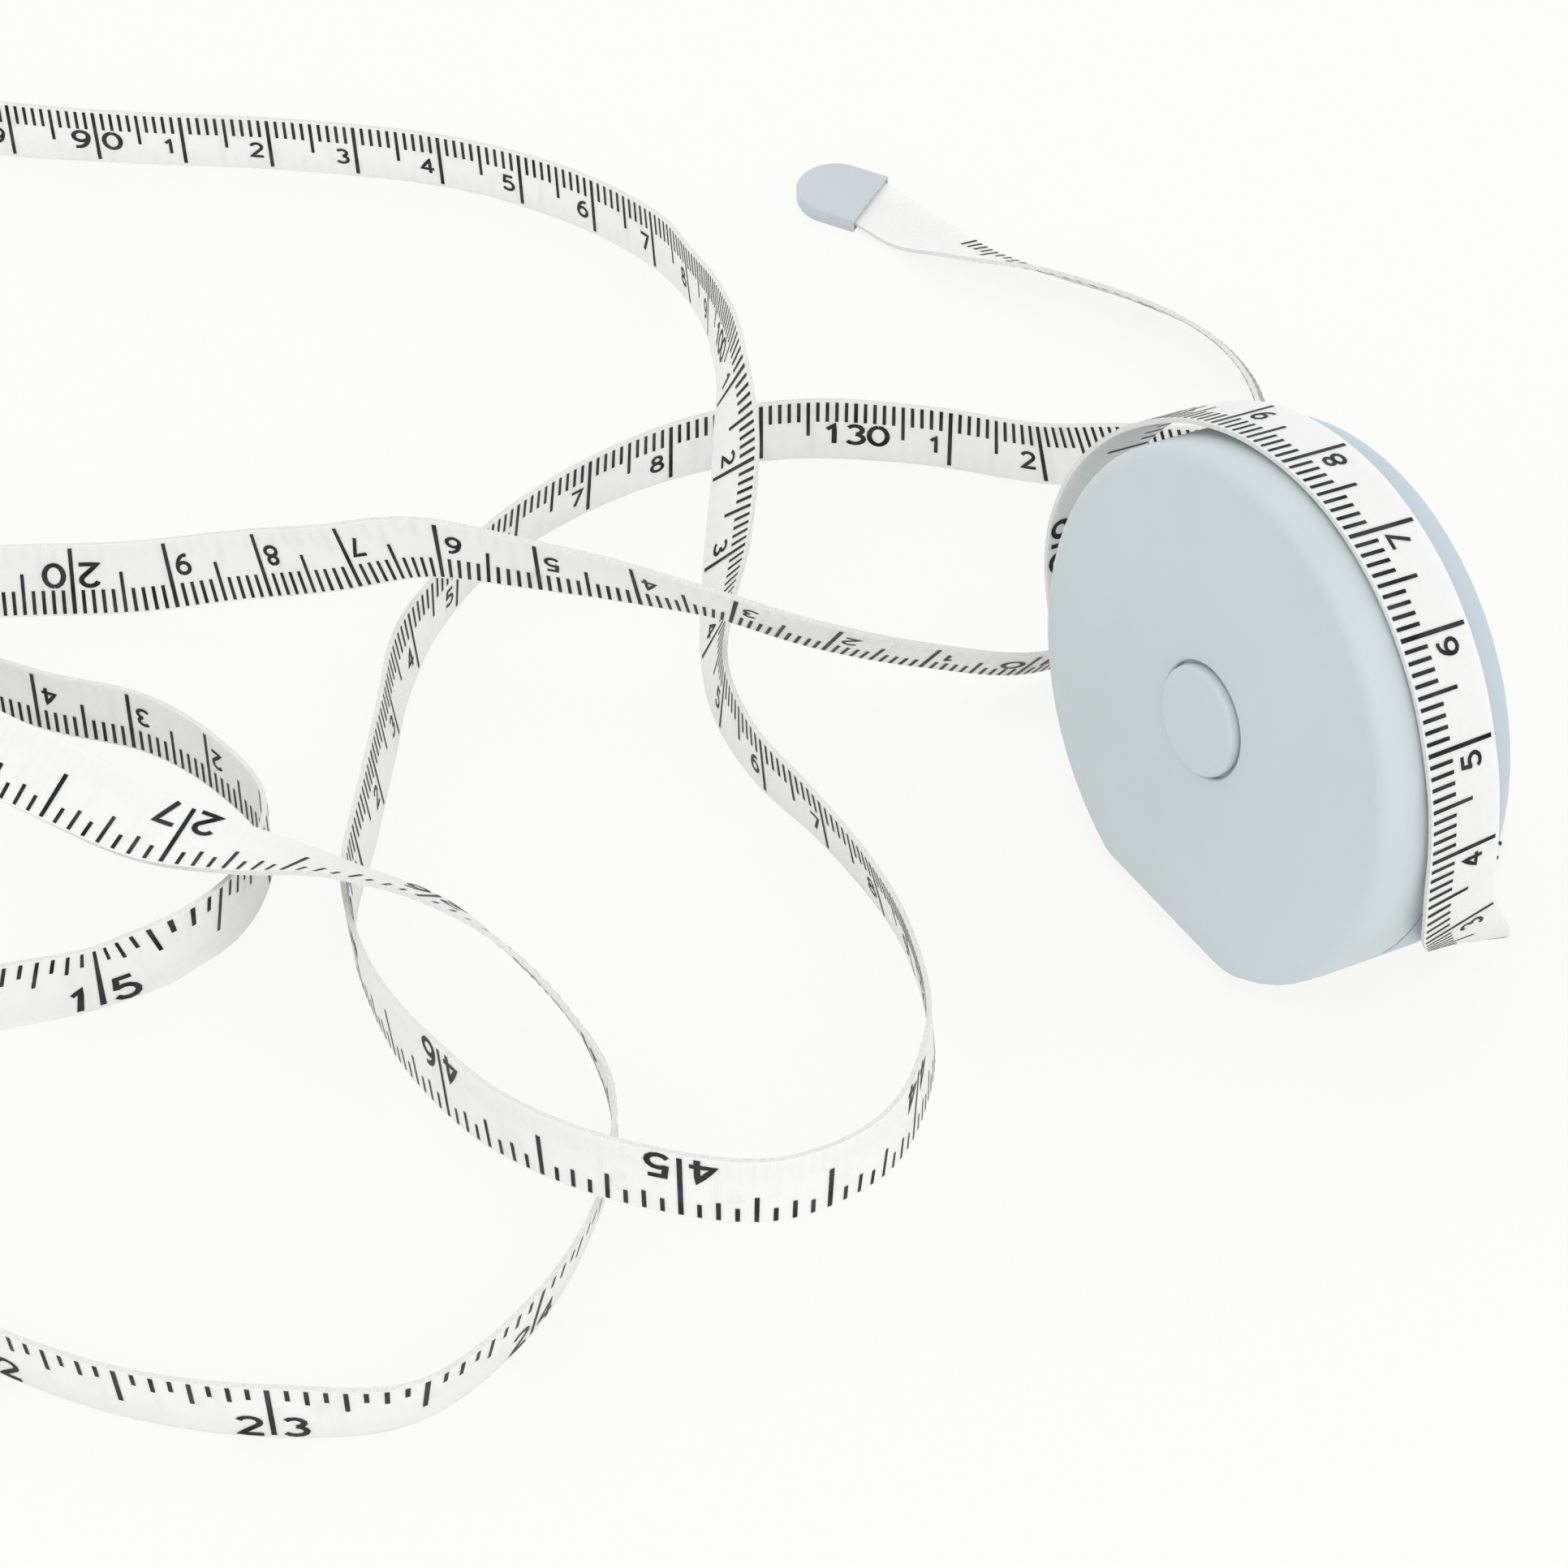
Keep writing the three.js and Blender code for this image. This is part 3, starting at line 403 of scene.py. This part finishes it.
# %% Coated cloth
# A wave texture of scale 1 repeats after this many units.
WAVE_PERIOD = 0.314
WEAVE_PITCH_MM = 0.28
WEAVE_WOBBLE = 0.6
WEAVE_DEPTH = 0.00003
WEAVE_STRENGTH = 0.35
CLOTH_ROUGHNESS = 0.55
CLOTH_SHADES = ((0.885, 0.873, 0.838), (0.910, 0.898, 0.866))
CLOTH_CLOUD = 140
THROUGH_SHARE = 0.5
THROUGH_TINT = (1.0, 1.0, 0.95)
THROUGH_REACH = 0.001


def woven_height(tree, links):
    flat = tree.new("ShaderNodeUVMap")
    flat.uv_map = "flat"
    over = tree.new("ShaderNodeMath")
    over.operation = "MAXIMUM"
    for i, direction in enumerate(("X", "Y")):
        wave = tree.new("ShaderNodeTexWave")
        wave.bands_direction = direction
        wave.inputs["Scale"].default_value = WAVE_PERIOD / WEAVE_PITCH_MM
        wave.inputs["Distortion"].default_value = WEAVE_WOBBLE
        links.new(flat.outputs["UV"], wave.inputs["Vector"])
        links.new(wave.outputs["Fac"], over.inputs[i])
    return over.outputs["Value"]


def coated_cloth():
    material, tree, links, shader = new_finish("coated_cloth", CLOTH_ROUGHNESS)
    where = tree.new("ShaderNodeTexCoord").outputs["Object"]
    cloud = noise_at(tree, links, where, CLOTH_CLOUD)
    links.new(colour_between(tree, links, cloud, *CLOTH_SHADES), shader.inputs["Base Color"])
    shader.inputs["Subsurface Weight"].default_value = THROUGH_SHARE
    shader.inputs["Subsurface Radius"].default_value = THROUGH_TINT
    shader.inputs["Subsurface Scale"].default_value = THROUGH_REACH
    bump_from(tree, links, woven_height(tree, links), shader, WEAVE_DEPTH, WEAVE_STRENGTH)
    return material


cloth = coated_cloth()
print("weave", WEAVE_PITCH_MM, "mm from thread to thread")

# %% [markdown]
# The long sides of the tape are cut, so bare threads show there, duller than the coat and darkened by painted
# shade.
# The print is black ink, a little worn. Both could be painted into one long picture.
# As finishes of their own they stay sharp however near the camera comes.

# %% Cut edge with painted shade, and ink
EDGE_ROUGHNESS = 0.8
# The cut edge's colours are darker than the cloth: part of that is painted shade on the thin sides of the
# tape.
EDGE_COLOURS_WITH_PAINTED_SHADE = ((0.70, 0.69, 0.65), (0.84, 0.83, 0.80))
THREAD_SCALE = 3800
INK_ROUGHNESS = 0.5
INK_SHADES = ((0.003, 0.003, 0.004), (0.050, 0.050, 0.052))
WORN_SCALE = 320
INK_SHINE = 0.15


def speckled(name, roughness, scale, shades):
    material, tree, links, shader = new_finish(name, roughness)
    where = tree.new("ShaderNodeTexCoord").outputs["Object"]
    specks = noise_at(tree, links, where, scale)
    links.new(colour_between(tree, links, specks, *shades), shader.inputs["Base Color"])
    return material


cut_edge_painted_shade = speckled("cut_edge_painted_shade", EDGE_ROUGHNESS, THREAD_SCALE, EDGE_COLOURS_WITH_PAINTED_SHADE)
ink = speckled("black_ink", INK_ROUGHNESS, WORN_SCALE, INK_SHADES)
ink.node_tree.nodes["Principled BSDF"].inputs["Specular IOR Level"].default_value = INK_SHINE
print("finishes", len(bpy.data.materials))

# %% [markdown]
# The tape is one narrow strip. A bent plane with a Solidify modifier could make it, but faces and
# narrow sides are easier to tell apart while the strip is flat.
# So a flat grid of one-millimetre steps is drawn out to its thickness before it is laid.

# %% Flat strip
STRIP_ROWS = 6
UNIT_HALF = 0.5


def flat_strip(length, steps):
    bm = bmesh.new()
    bmesh.ops.create_grid(bm, x_segments=steps, y_segments=STRIP_ROWS, size=UNIT_HALF)
    bmesh.ops.scale(bm, vec=(length, TAPE_WIDTH, 1), verts=bm.verts)
    made = bmesh.ops.extrude_face_region(bm, geom=bm.faces[:])
    risen = [v for v in made["geom"] if isinstance(v, bmesh.types.BMVert)]
    bmesh.ops.translate(bm, vec=(0, 0, TAPE_THICK), verts=risen)
    bmesh.ops.translate(bm, vec=(length / 2, 0, -TAPE_THICK / 2), verts=bm.verts)
    bmesh.ops.recalc_face_normals(bm, faces=bm.faces)
    return bm


print("strip", [round(size * MM_PER_METRE, 3) for size in (TAPE_WIDTH, TAPE_THICK)], "mm")

# %% [markdown]
# The strip now becomes the ribbon: its long corners stay sharp, and its narrow sides show cut threads in a
# colour darkened by painted shade.
# Every piece ends in the same way, as an object at the origin that knows which body it rides on. That could
# be typed out each time, but a helper forgets nothing.

# %% Tape ribbon
FERRULE_GRIP = 0.005
FACE_UP = 0.5
SHARP_FROM = 0.5


def finish_piece(bm, name, materials, body):
    mesh = bpy.data.meshes.new(name)
    bm.to_mesh(mesh)
    bm.free()
    for material in materials:
        mesh.materials.append(material)
    piece = bpy.data.objects.new(name, mesh)
    bpy.context.scene.collection.objects.link(piece)
    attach(piece, body)
    print(name, len(mesh.polygons), "faces")
    return piece


def tape_ribbon(name, stations, step, body, start):
    length = step * (len(stations) - 1) - start
    bm = flat_strip(length, round(length / step))
    bmesh.ops.translate(bm, vec=(start, 0, 0), verts=bm.verts)
    flat = bm.loops.layers.uv.new("flat")
    for face in bm.faces:
        face.smooth = True
        # The narrow sides get the cut-edge finish, whose darker colour is partly painted shade.
        face.material_index = 0 if abs(face.normal.z) > FACE_UP else 1
        for corner in face.loops:
            corner[flat].uv = (corner.vert.co.x * MM_PER_METRE, corner.vert.co.y * MM_PER_METRE)
    for edge in bm.edges:
        edge.smooth = edge.calc_face_angle(0) < SHARP_FROM
    for vert in bm.verts:
        vert.co = lay(vert.co, stations, step)
    return finish_piece(bm, name, [cloth, cut_edge_painted_shade], body)


tape = tape_ribbon("cloth_tape", tape_stations, tape_step, "case", FERRULE_GRIP)
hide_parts("tape_mouth_run", "tape_rim_wrap", "tape_rise", "tape_loops", "tape_end_run")

# %% [markdown]
# The last turn of the tape stays on the reel, hidden in the closed case.
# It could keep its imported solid, but the same strip laid on a spiral gives it the same cloth as the rest.

# %% Tail on the reel
DRUM_RADIUS = 0.0132
TAIL_LIFT = 0.00055
TAIL_START = DRUM_RADIUS + TAIL_LIFT
TAIL_PITCH = 0.0009
TAIL_TURNS = 1.25
TAIL_SPANS = 120
tail_points = []
for i in range(TAIL_SPANS + 1):
    turn = TAIL_TURNS * i / TAIL_SPANS
    angle = 2 * math.pi * turn
    radius = TAIL_START + TAIL_PITCH * turn
    tail_points.append(case_pose @ Vector((radius * math.cos(angle), 0, radius * math.sin(angle))))
tail_stations, tail_step = even_steps(tail_points, [-case_front] * len(tail_points))
tail = tape_ribbon("tape_tail_turn", tail_stations, tail_step, "reel", 0)
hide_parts("tape_tail")

# %% [markdown]
# The print is a centimetre scale on one face and an inch scale on the other, in plain round digits.
# Text objects could give the digits, but a font brings its own look and large flat faces that don't bend.
# So each digit is one or two strokes of a pen, given as points in a box that is one unit high.

# %% Digit strokes


def arc(x, y, wide, high, start, stop, count):
    turns = [math.radians(start + (stop - start) * i / count) for i in range(count + 1)]
    return [(x + wide * math.cos(t), y + high * math.sin(t)) for t in turns]


SIX = arc(0.15, 0.34, 0.42, 0.60, 78, 176, 5) + arc(0, 0.32, 0.27, 0.27, 180, 540, 14)
DIGIT_STROKES = {
    "0": [arc(0, 0.5, 0.30, 0.44, 90, 450, 16)],
    "1": [[(-0.19, 0.72), (0.05, 0.95), (0.05, 0.03)]],
    "2": [arc(0, 0.70, 0.27, 0.24, 165, -35, 8) + [(-0.28, 0.06), (0.32, 0.06)]],
    "3": [arc(-0.02, 0.73, 0.25, 0.21, 150, -80, 7), arc(-0.02, 0.29, 0.29, 0.23, 85, -150, 8)],
    "4": [[(0.13, 0.02), (0.13, 0.94), (-0.30, 0.30), (0.33, 0.30)]],
    "5": [[(0.25, 0.94), (-0.18, 0.94), (-0.22, 0.56)] + arc(-0.02, 0.33, 0.29, 0.27, 125, -150, 9)],
    "6": [SIX],
    "7": [[(-0.29, 0.93), (0.29, 0.93), (-0.08, 0.02)]],
    "8": [arc(0, 0.74, 0.22, 0.20, 90, 450, 12), arc(0, 0.29, 0.28, 0.23, 90, 450, 14)],
    "9": [[(-x, 1 - y) for x, y in SIX]],
}
print("digits", *DIGIT_STROKES)

# %% [markdown]
# A pen keeps its width along a stroke. A bevelled curve could do that, but it would be a raised tube.
# Here a short edge is extruded from point to point, which leaves a flat band of ink.
# Long straight strokes get points between, so that they can bend with the tape.

# %% Pen strokes
PEN = 0.17
PEN_STEP = 0.26
LEAST_MITRE = 0.65


def pen_points(points):
    places = []
    for here, after in zip(points, points[1:]):
        a, b = Vector((*here, 0)), Vector((*after, 0))
        count = math.ceil((b - a).length / PEN_STEP)
        places += [a.lerp(b, k / count) for k in range(count)]
    return [*places, Vector((*points[-1], 0))]


def pen_stroke(bm, places):
    pair = []
    for i, place in enumerate(places):
        before = (place - places[i - 1] if i else places[1] - place).normalized()
        after = (places[i + 1] - place if i + 1 < len(places) else before).normalized()
        run = (before + after).normalized()
        across = Vector((-run.y, run.x, 0)) * (PEN / 2 / max(run.dot(before), LEAST_MITRE))
        if pair:
            made = bmesh.ops.extrude_edge_only(bm, edges=[bm.edges.get(pair)])["geom"]
            ends = [g for g in made if isinstance(g, bmesh.types.BMVert)]
            pair = sorted(ends, key=lambda v: (v.co - pair[0].co).length)
        else:
            pair = [bm.verts.new(), bm.verts.new()]
            bm.edges.new(pair)
        pair[0].co = place + across
        pair[1].co = place - across


def digit_shape(character):
    bm = bmesh.new()
    for points in DIGIT_STROKES[character]:
        pen_stroke(bm, pen_points(points))
    for face in bm.faces:
        face.normal_update()
        if face.normal.z < 0:
            face.normal_flip()
    mesh = bpy.data.meshes.new("digit_" + character)
    bm.to_mesh(mesh)
    bm.free()
    return mesh


digits = {c: digit_shape(c) for c in DIGIT_STROKES}
print("faces of a digit", [len(m.polygons) for m in digits.values()])

# %% [markdown]
# A tick is a thin bar that starts at the edge of the tape. One quad could do, but it would cut through
# the cloth where the ribbon twists, so it has three spans. Every tick and digit is stamped from one shape.

# %% Ticks and stamps
TICK_SPANS = 3
HALF_WIDTH = TAPE_WIDTH / 2
EDGE_GAP = 0.0002


def tick_shape():
    bm = bmesh.new()
    bmesh.ops.create_grid(bm, x_segments=1, y_segments=TICK_SPANS, size=UNIT_HALF)
    bmesh.ops.translate(bm, vec=(0, UNIT_HALF, 0), verts=bm.verts)
    mesh = bpy.data.meshes.new("tick")
    bm.to_mesh(mesh)
    bm.free()
    return mesh


def stamp(bm, shape, x, y, width, height):
    first = len(bm.verts)
    bm.from_mesh(shape)
    bm.verts.ensure_lookup_table()
    for vert in bm.verts[first:]:
        vert.co = (x + vert.co.x * width, y + vert.co.y * height, 0)


def tick_at(bm, x, length, width):
    stamp(bm, tick, x, HALF_WIDTH - EDGE_GAP - length, width, length)


tick = tick_shape()
print("faces of a tick", len(tick.polygons))

# %% [markdown]
# On the centimetre face the short ticks are millimetres, and every fifth one is longer.
# A small unit digit stands before each full tick. The tens are larger: two digits stand on both sides
# of their full tick, and three digits leave room for a short one only.
# A picture could hold all this, but it would blur from near, while stamped shapes stay sharp.
# The scale ends at 60 inches, where such tapes end.

# %% Centimetre print
INCH = 0.0254
PRINT_INCHES = 60
PRINT_LENGTH = PRINT_INCHES * INCH
ZERO_AT = 0.0218
MILLIMETRE = 0.001
SHORT_TICK, MIDDLE_TICK, FULL_TICK = 0.0025, 0.0043, 0.0069
THIN_LINE, BOLD_LINE = 0.00036, 0.00042
UNIT_BEFORE, UNIT_LOW, UNIT_WIDE, UNIT_HIGH = 0.0016, -0.0020, 0.0023, 0.0022
TENS_LOW, TENS_WIDE, TENS_HIGH = -0.0018, 0.0032, 0.0026
TENS_APART = {2: 0.0036, 3: 0.0024}
TENS_TICK = {2: FULL_TICK, 3: SHORT_TICK}


def print_tens(bm, x, number):
    count = len(number)
    tick_at(bm, x, TENS_TICK[count], BOLD_LINE)
    for k, character in enumerate(number):
        at = x + (k - (count - 1) / 2) * TENS_APART[count]
        stamp(bm, digits[character], at, TENS_LOW, TENS_WIDE, TENS_HIGH)


def centimetre_print(length):
    bm = bmesh.new()
    for millimetre in range(1, round(length / MILLIMETRE) + 1):
        x = ZERO_AT + millimetre * MILLIMETRE
        centimetre, rest = divmod(millimetre, 10)
        if rest:
            tick_at(bm, x, MIDDLE_TICK if rest == 5 else SHORT_TICK, THIN_LINE)
        elif centimetre % 10:
            tick_at(bm, x, FULL_TICK, BOLD_LINE)
            stamp(bm, digits[str(centimetre)[-1]], x - UNIT_BEFORE, UNIT_LOW, UNIT_WIDE, UNIT_HIGH)
        else:
            print_tens(bm, x, str(centimetre))
    return bm


centimetre_marks = centimetre_print(PRINT_LENGTH)
print("centimetre marks", len(centimetre_marks.faces), "faces")

# %% [markdown]
# The ink lies just clear of the cloth. It could be joined to the ribbon, but as a piece of its own
# it keeps its finish and can be left out. On the back both y and z change sign, so the digits still read.

# %% Ink on the centimetre face
INK_CLEAR = 0.00003
PRINT_LIFT = TAPE_THICK / 2 + INK_CLEAR


def ink_on_face(bm, name, side):
    for vert in bm.verts:
        vert.co = lay((vert.co.x, side * vert.co.y, side * PRINT_LIFT), tape_stations, tape_step)
    return finish_piece(bm, name, [ink], "case")


centimetre_ink = ink_on_face(centimetre_marks, "centimetre_print", 1)

# %% [markdown]
# The inch face is the back of the tape: sixteenths, with longer ticks for eighths, quarters and halves.
# The digits of an inch stand beside its full tick, one before it and the second behind it.
# The scale could be typed in mark by mark, but the coarsest division of a mark gives its length.

# %% Inch print
SIXTEENTHS = 16
INCH_TICKS = {1: 0.0016, 2: 0.0021, 4: 0.003, 8: 0.0046, 16: 0.0069}
INCH_BOLD_PAST = 4
INCH_THIN, INCH_BOLD = 0.0004, 0.00046
INCH_BESIDE = (-0.0019, 0.0019)
INCH_LOW, INCH_WIDE, INCH_HIGH = -0.0035, 0.0033, 0.0029


def inch_print(length):
    bm = bmesh.new()
    for sixteenth in range(1, round(length / INCH * SIXTEENTHS) + 1):
        x = ZERO_AT + sixteenth * INCH / SIXTEENTHS
        coarsest = max(k for k in INCH_TICKS if sixteenth % k == 0)
        tick_at(bm, x, INCH_TICKS[coarsest], INCH_BOLD if coarsest > INCH_BOLD_PAST else INCH_THIN)
        if coarsest == SIXTEENTHS:
            for beside, character in zip(INCH_BESIDE, str(sixteenth // SIXTEENTHS)):
                stamp(bm, digits[character], x + beside, INCH_LOW, INCH_WIDE, INCH_HIGH)
    return bm


inch_ink = ink_on_face(inch_print(PRINT_LENGTH), "inch_print", -1)

# %% [markdown]
# The tape is limp and has a fixed length: it leaves the case at the mouth and ends in its ferrule.
# A rigid joint can't pay it out. Here only the station of the route nearest the mouth is found, with its
# distance from the free end. Every second station of the route can't differ from the ribbon.

# %% Cord facts
MOUTH_AT = case_pose @ Vector((-0.0187, 0, -0.0159))
mouth_station = min(range(len(tape_stations)), key=lambda i: (tape_stations[i][0] - MOUTH_AT).length)
print("mouth at", round(mouth_station * tape_step, 4), "m from the free end")

# %% [markdown]
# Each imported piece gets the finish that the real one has. What it came with is cleared first.
# A finish for each material slot would be shorter, but the two shells differ a little in colour.

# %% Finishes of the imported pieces
FINISH_OF = {
    "front_shell": plastic["case_plastic"], "rear_shell": plastic["rear_plastic"],
    "mouth_guide": plastic["rear_plastic"], "push_button": plastic["button_plastic"],
    "end_ferrule": plastic["ferrule_plastic"], "arbor_screw": steel,
    "brake_disc": plastic["reel_nylon"], "arbor_post": plastic["reel_nylon"],
    "reel_drum": plastic["reel_nylon"], "reel_lid": plastic["reel_nylon"],
    "brake_pad": plastic["pad_rubber"], "button_clip": steel, "button_spring": steel,
    "tape_anchor_pin": steel, "mainspring": steel,
}
for name, finish in FINISH_OF.items():
    nodes[name].data.materials.clear()
    nodes[name].data.materials.append(finish)
print("packed pieces with a finish", len(FINISH_OF))

# %% [markdown]
# In the photograph the front face is nearly flat and meets the rim in a tight round.
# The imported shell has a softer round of 4 mm there, and its face stands about a millimetre further forward.
# A Bevel modifier can't tighten a round that is already modelled, and a new shell would lose the inside.
# So each point keeps its x and z in the case's frame and is only drawn back, the inner wall with it.

# %% Flatter front face
FACE_BACK = 0.00113
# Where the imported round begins, seen from the axis and in depth, and where its wall is halved.
PACKED_EDGE = 0.021
PACKED_ROUND_FROM = -0.00465
PACKED_MID_WALL = 0.0033
PACKED_INNER_REACH = 0.0026
ROUND_MARGIN = 0.00007
BOSS_REACH = 0.0085
# Where the new, tighter round begins, and how deep the face is there.
FACE_EDGE = 0.0237
FACE_EDGE_DEPTH = -0.00752
EDGE_ROUND = 0.0013
CAP_FROM = -0.009


def crisp_face(place):
    out = math.hypot(place.x, place.z)
    ahead = PACKED_ROUND_FROM - place.y
    if ahead < ROUND_MARGIN:
        return place.y
    if math.hypot(max(out - PACKED_EDGE, 0), ahead) < PACKED_MID_WALL:
        inner_shift = FACE_BACK * min(ahead / PACKED_INNER_REACH, 1)
        return place.y + inner_shift if out > BOSS_REACH else place.y
    if out < PACKED_EDGE:
        return place.y + FACE_BACK
    past = min(max(out - FACE_EDGE, 0), EDGE_ROUND)
    return FACE_EDGE_DEPTH + EDGE_ROUND - math.sqrt(EDGE_ROUND ** 2 - past ** 2)


def lower_cap(place):
    return place.y + FACE_BACK if place.y < CAP_FROM else place.y


DRAWN_BACK = {"front_shell": crisp_face, "push_button": lower_cap}
print("face drawn back", round(FACE_BACK * MM_PER_METRE, 2), "mm for", *DRAWN_BACK)

# %% [markdown]
# The shells and the button are in plain view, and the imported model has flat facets.
# A Subdivision modifier could smooth them, but it would also pull the crisp corners in.
# So the facets are welded and shaded smooth, and only edges of 35 degrees or more stay sharp.

# %% Smooth skins
WELD = 1e-6
CREASE = math.radians(35)
SKINNED = {
    "front_shell": ("case", "shell"), "rear_shell": ("case", "shell"), "push_button": ("button", "button"),
}


def smooth_skin(name):
    body, slot = SKINNED[name]
    bm = bmesh.new()
    bm.from_mesh(nodes[name].data)
    bmesh.ops.remove_doubles(bm, verts=bm.verts, dist=WELD)
    if name in DRAWN_BACK:
        for vert in bm.verts:
            place = case_pose.inverted() @ vert.co
            place.y = DRAWN_BACK[name](place)
            vert.co = case_pose @ place
    for face in bm.faces:
        face.smooth = True
    for edge in bm.edges:
        edge.smooth = edge.calc_face_angle(0) < CREASE
    skin = finish_piece(bm, name + "_skin", [FINISH_OF[name]], body)
    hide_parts(name)


for name in SKINNED:
    smooth_skin(name)

# %% [markdown]
# The part stands on a plain white ground that takes a soft shadow. The floor is only a stage for it.
# A white plane could be lit until it looks white, but by then the part would be burnt out.
# So the floor also glows, for the camera and in reflections alone, and its glow throws no light.

# %% Floor
FLOOR_HALF = 3
FLOOR_ROUGHNESS = 0.9
FLOOR_COLOUR = (0.9, 0.9, 0.89, 1)
GLOW_COLOUR = (0.985, 0.985, 0.965, 1)
GLOW_SHARE = 0.88


def studio_floor():
    material, tree, links, shader = new_finish("studio_floor", FLOOR_ROUGHNESS)
    shader.inputs["Base Color"].default_value = FLOOR_COLOUR
    glow = tree.new("ShaderNodeEmission")
    glow.inputs["Color"].default_value = GLOW_COLOUR
    rays = tree.new("ShaderNodeLightPath")
    seen = tree.new("ShaderNodeMath")
    seen.operation = "MAXIMUM"
    links.new(rays.outputs["Is Camera Ray"], seen.inputs[0])
    links.new(rays.outputs["Is Glossy Ray"], seen.inputs[1])
    share = tree.new("ShaderNodeMath")
    share.operation = "MULTIPLY"
    share.inputs[1].default_value = GLOW_SHARE
    links.new(seen.outputs["Value"], share.inputs[0])
    mix = tree.new("ShaderNodeMixShader")
    links.new(share.outputs["Value"], mix.inputs["Fac"])
    links.new(shader.outputs["BSDF"], mix.inputs[1])
    links.new(glow.outputs["Emission"], mix.inputs[2])
    links.new(mix.outputs["Shader"], tree["Material Output"].inputs["Surface"])
    return material


floor_bm = bmesh.new()
bmesh.ops.create_grid(floor_bm, x_segments=1, y_segments=1, size=FLOOR_HALF)
floor_mesh = bpy.data.meshes.new("floor")
floor_bm.to_mesh(floor_mesh)
floor_bm.free()
floor_mesh.materials.append(studio_floor())
floor = bpy.data.objects.new("floor", floor_mesh)
bpy.context.scene.collection.objects.link(floor)
print("floor", 2 * FLOOR_HALF, "m wide")

# %% [markdown]
# The photograph is lit very evenly: shadows are soft, and no side of the part is dark.
# A studio picture wrapped round the scene could give that, but it would be another file to carry.
# An even, faintly blue sky does most of it, and one large lamp to the right of the camera adds form.

# %% Light
SKY_COLOUR = (0.97, 0.985, 1.0, 1)
SKY_STRENGTH = 1.05
LAMP_AT = Vector((0.90, -0.15, 0.75))
LAMP_AIM = Vector((-0.04, -0.04, 0.0))
LAMP_SIZE = 0.9
LAMP_WATTS = 1.4
world = bpy.data.worlds.new("sky")
world.use_nodes = True
world.node_tree.nodes["Background"].inputs["Color"].default_value = SKY_COLOUR
world.node_tree.nodes["Background"].inputs["Strength"].default_value = SKY_STRENGTH
bpy.context.scene.world = world
lamp_data = bpy.data.lights.new("key_lamp", "AREA")
lamp_data.shape = "DISK"
lamp_data.size = LAMP_SIZE
lamp_data.energy = LAMP_WATTS
lamp = bpy.data.objects.new("key_lamp", lamp_data)
lamp.location = LAMP_AT
lamp.rotation_mode = "QUATERNION"
lamp.rotation_quaternion = (LAMP_AIM - LAMP_AT).to_track_quat("-Z", "Y")
bpy.context.scene.collection.objects.link(lamp)
print("lamp", round((LAMP_AIM - LAMP_AT).length, 2), "m away")

# %% [markdown]
# The picture is shown as it is lit. A film look could be laid over it, but it would shift the colours
# that were matched to the photograph.

# %% Plain colour view
bpy.context.scene.view_settings.view_transform = "Standard"
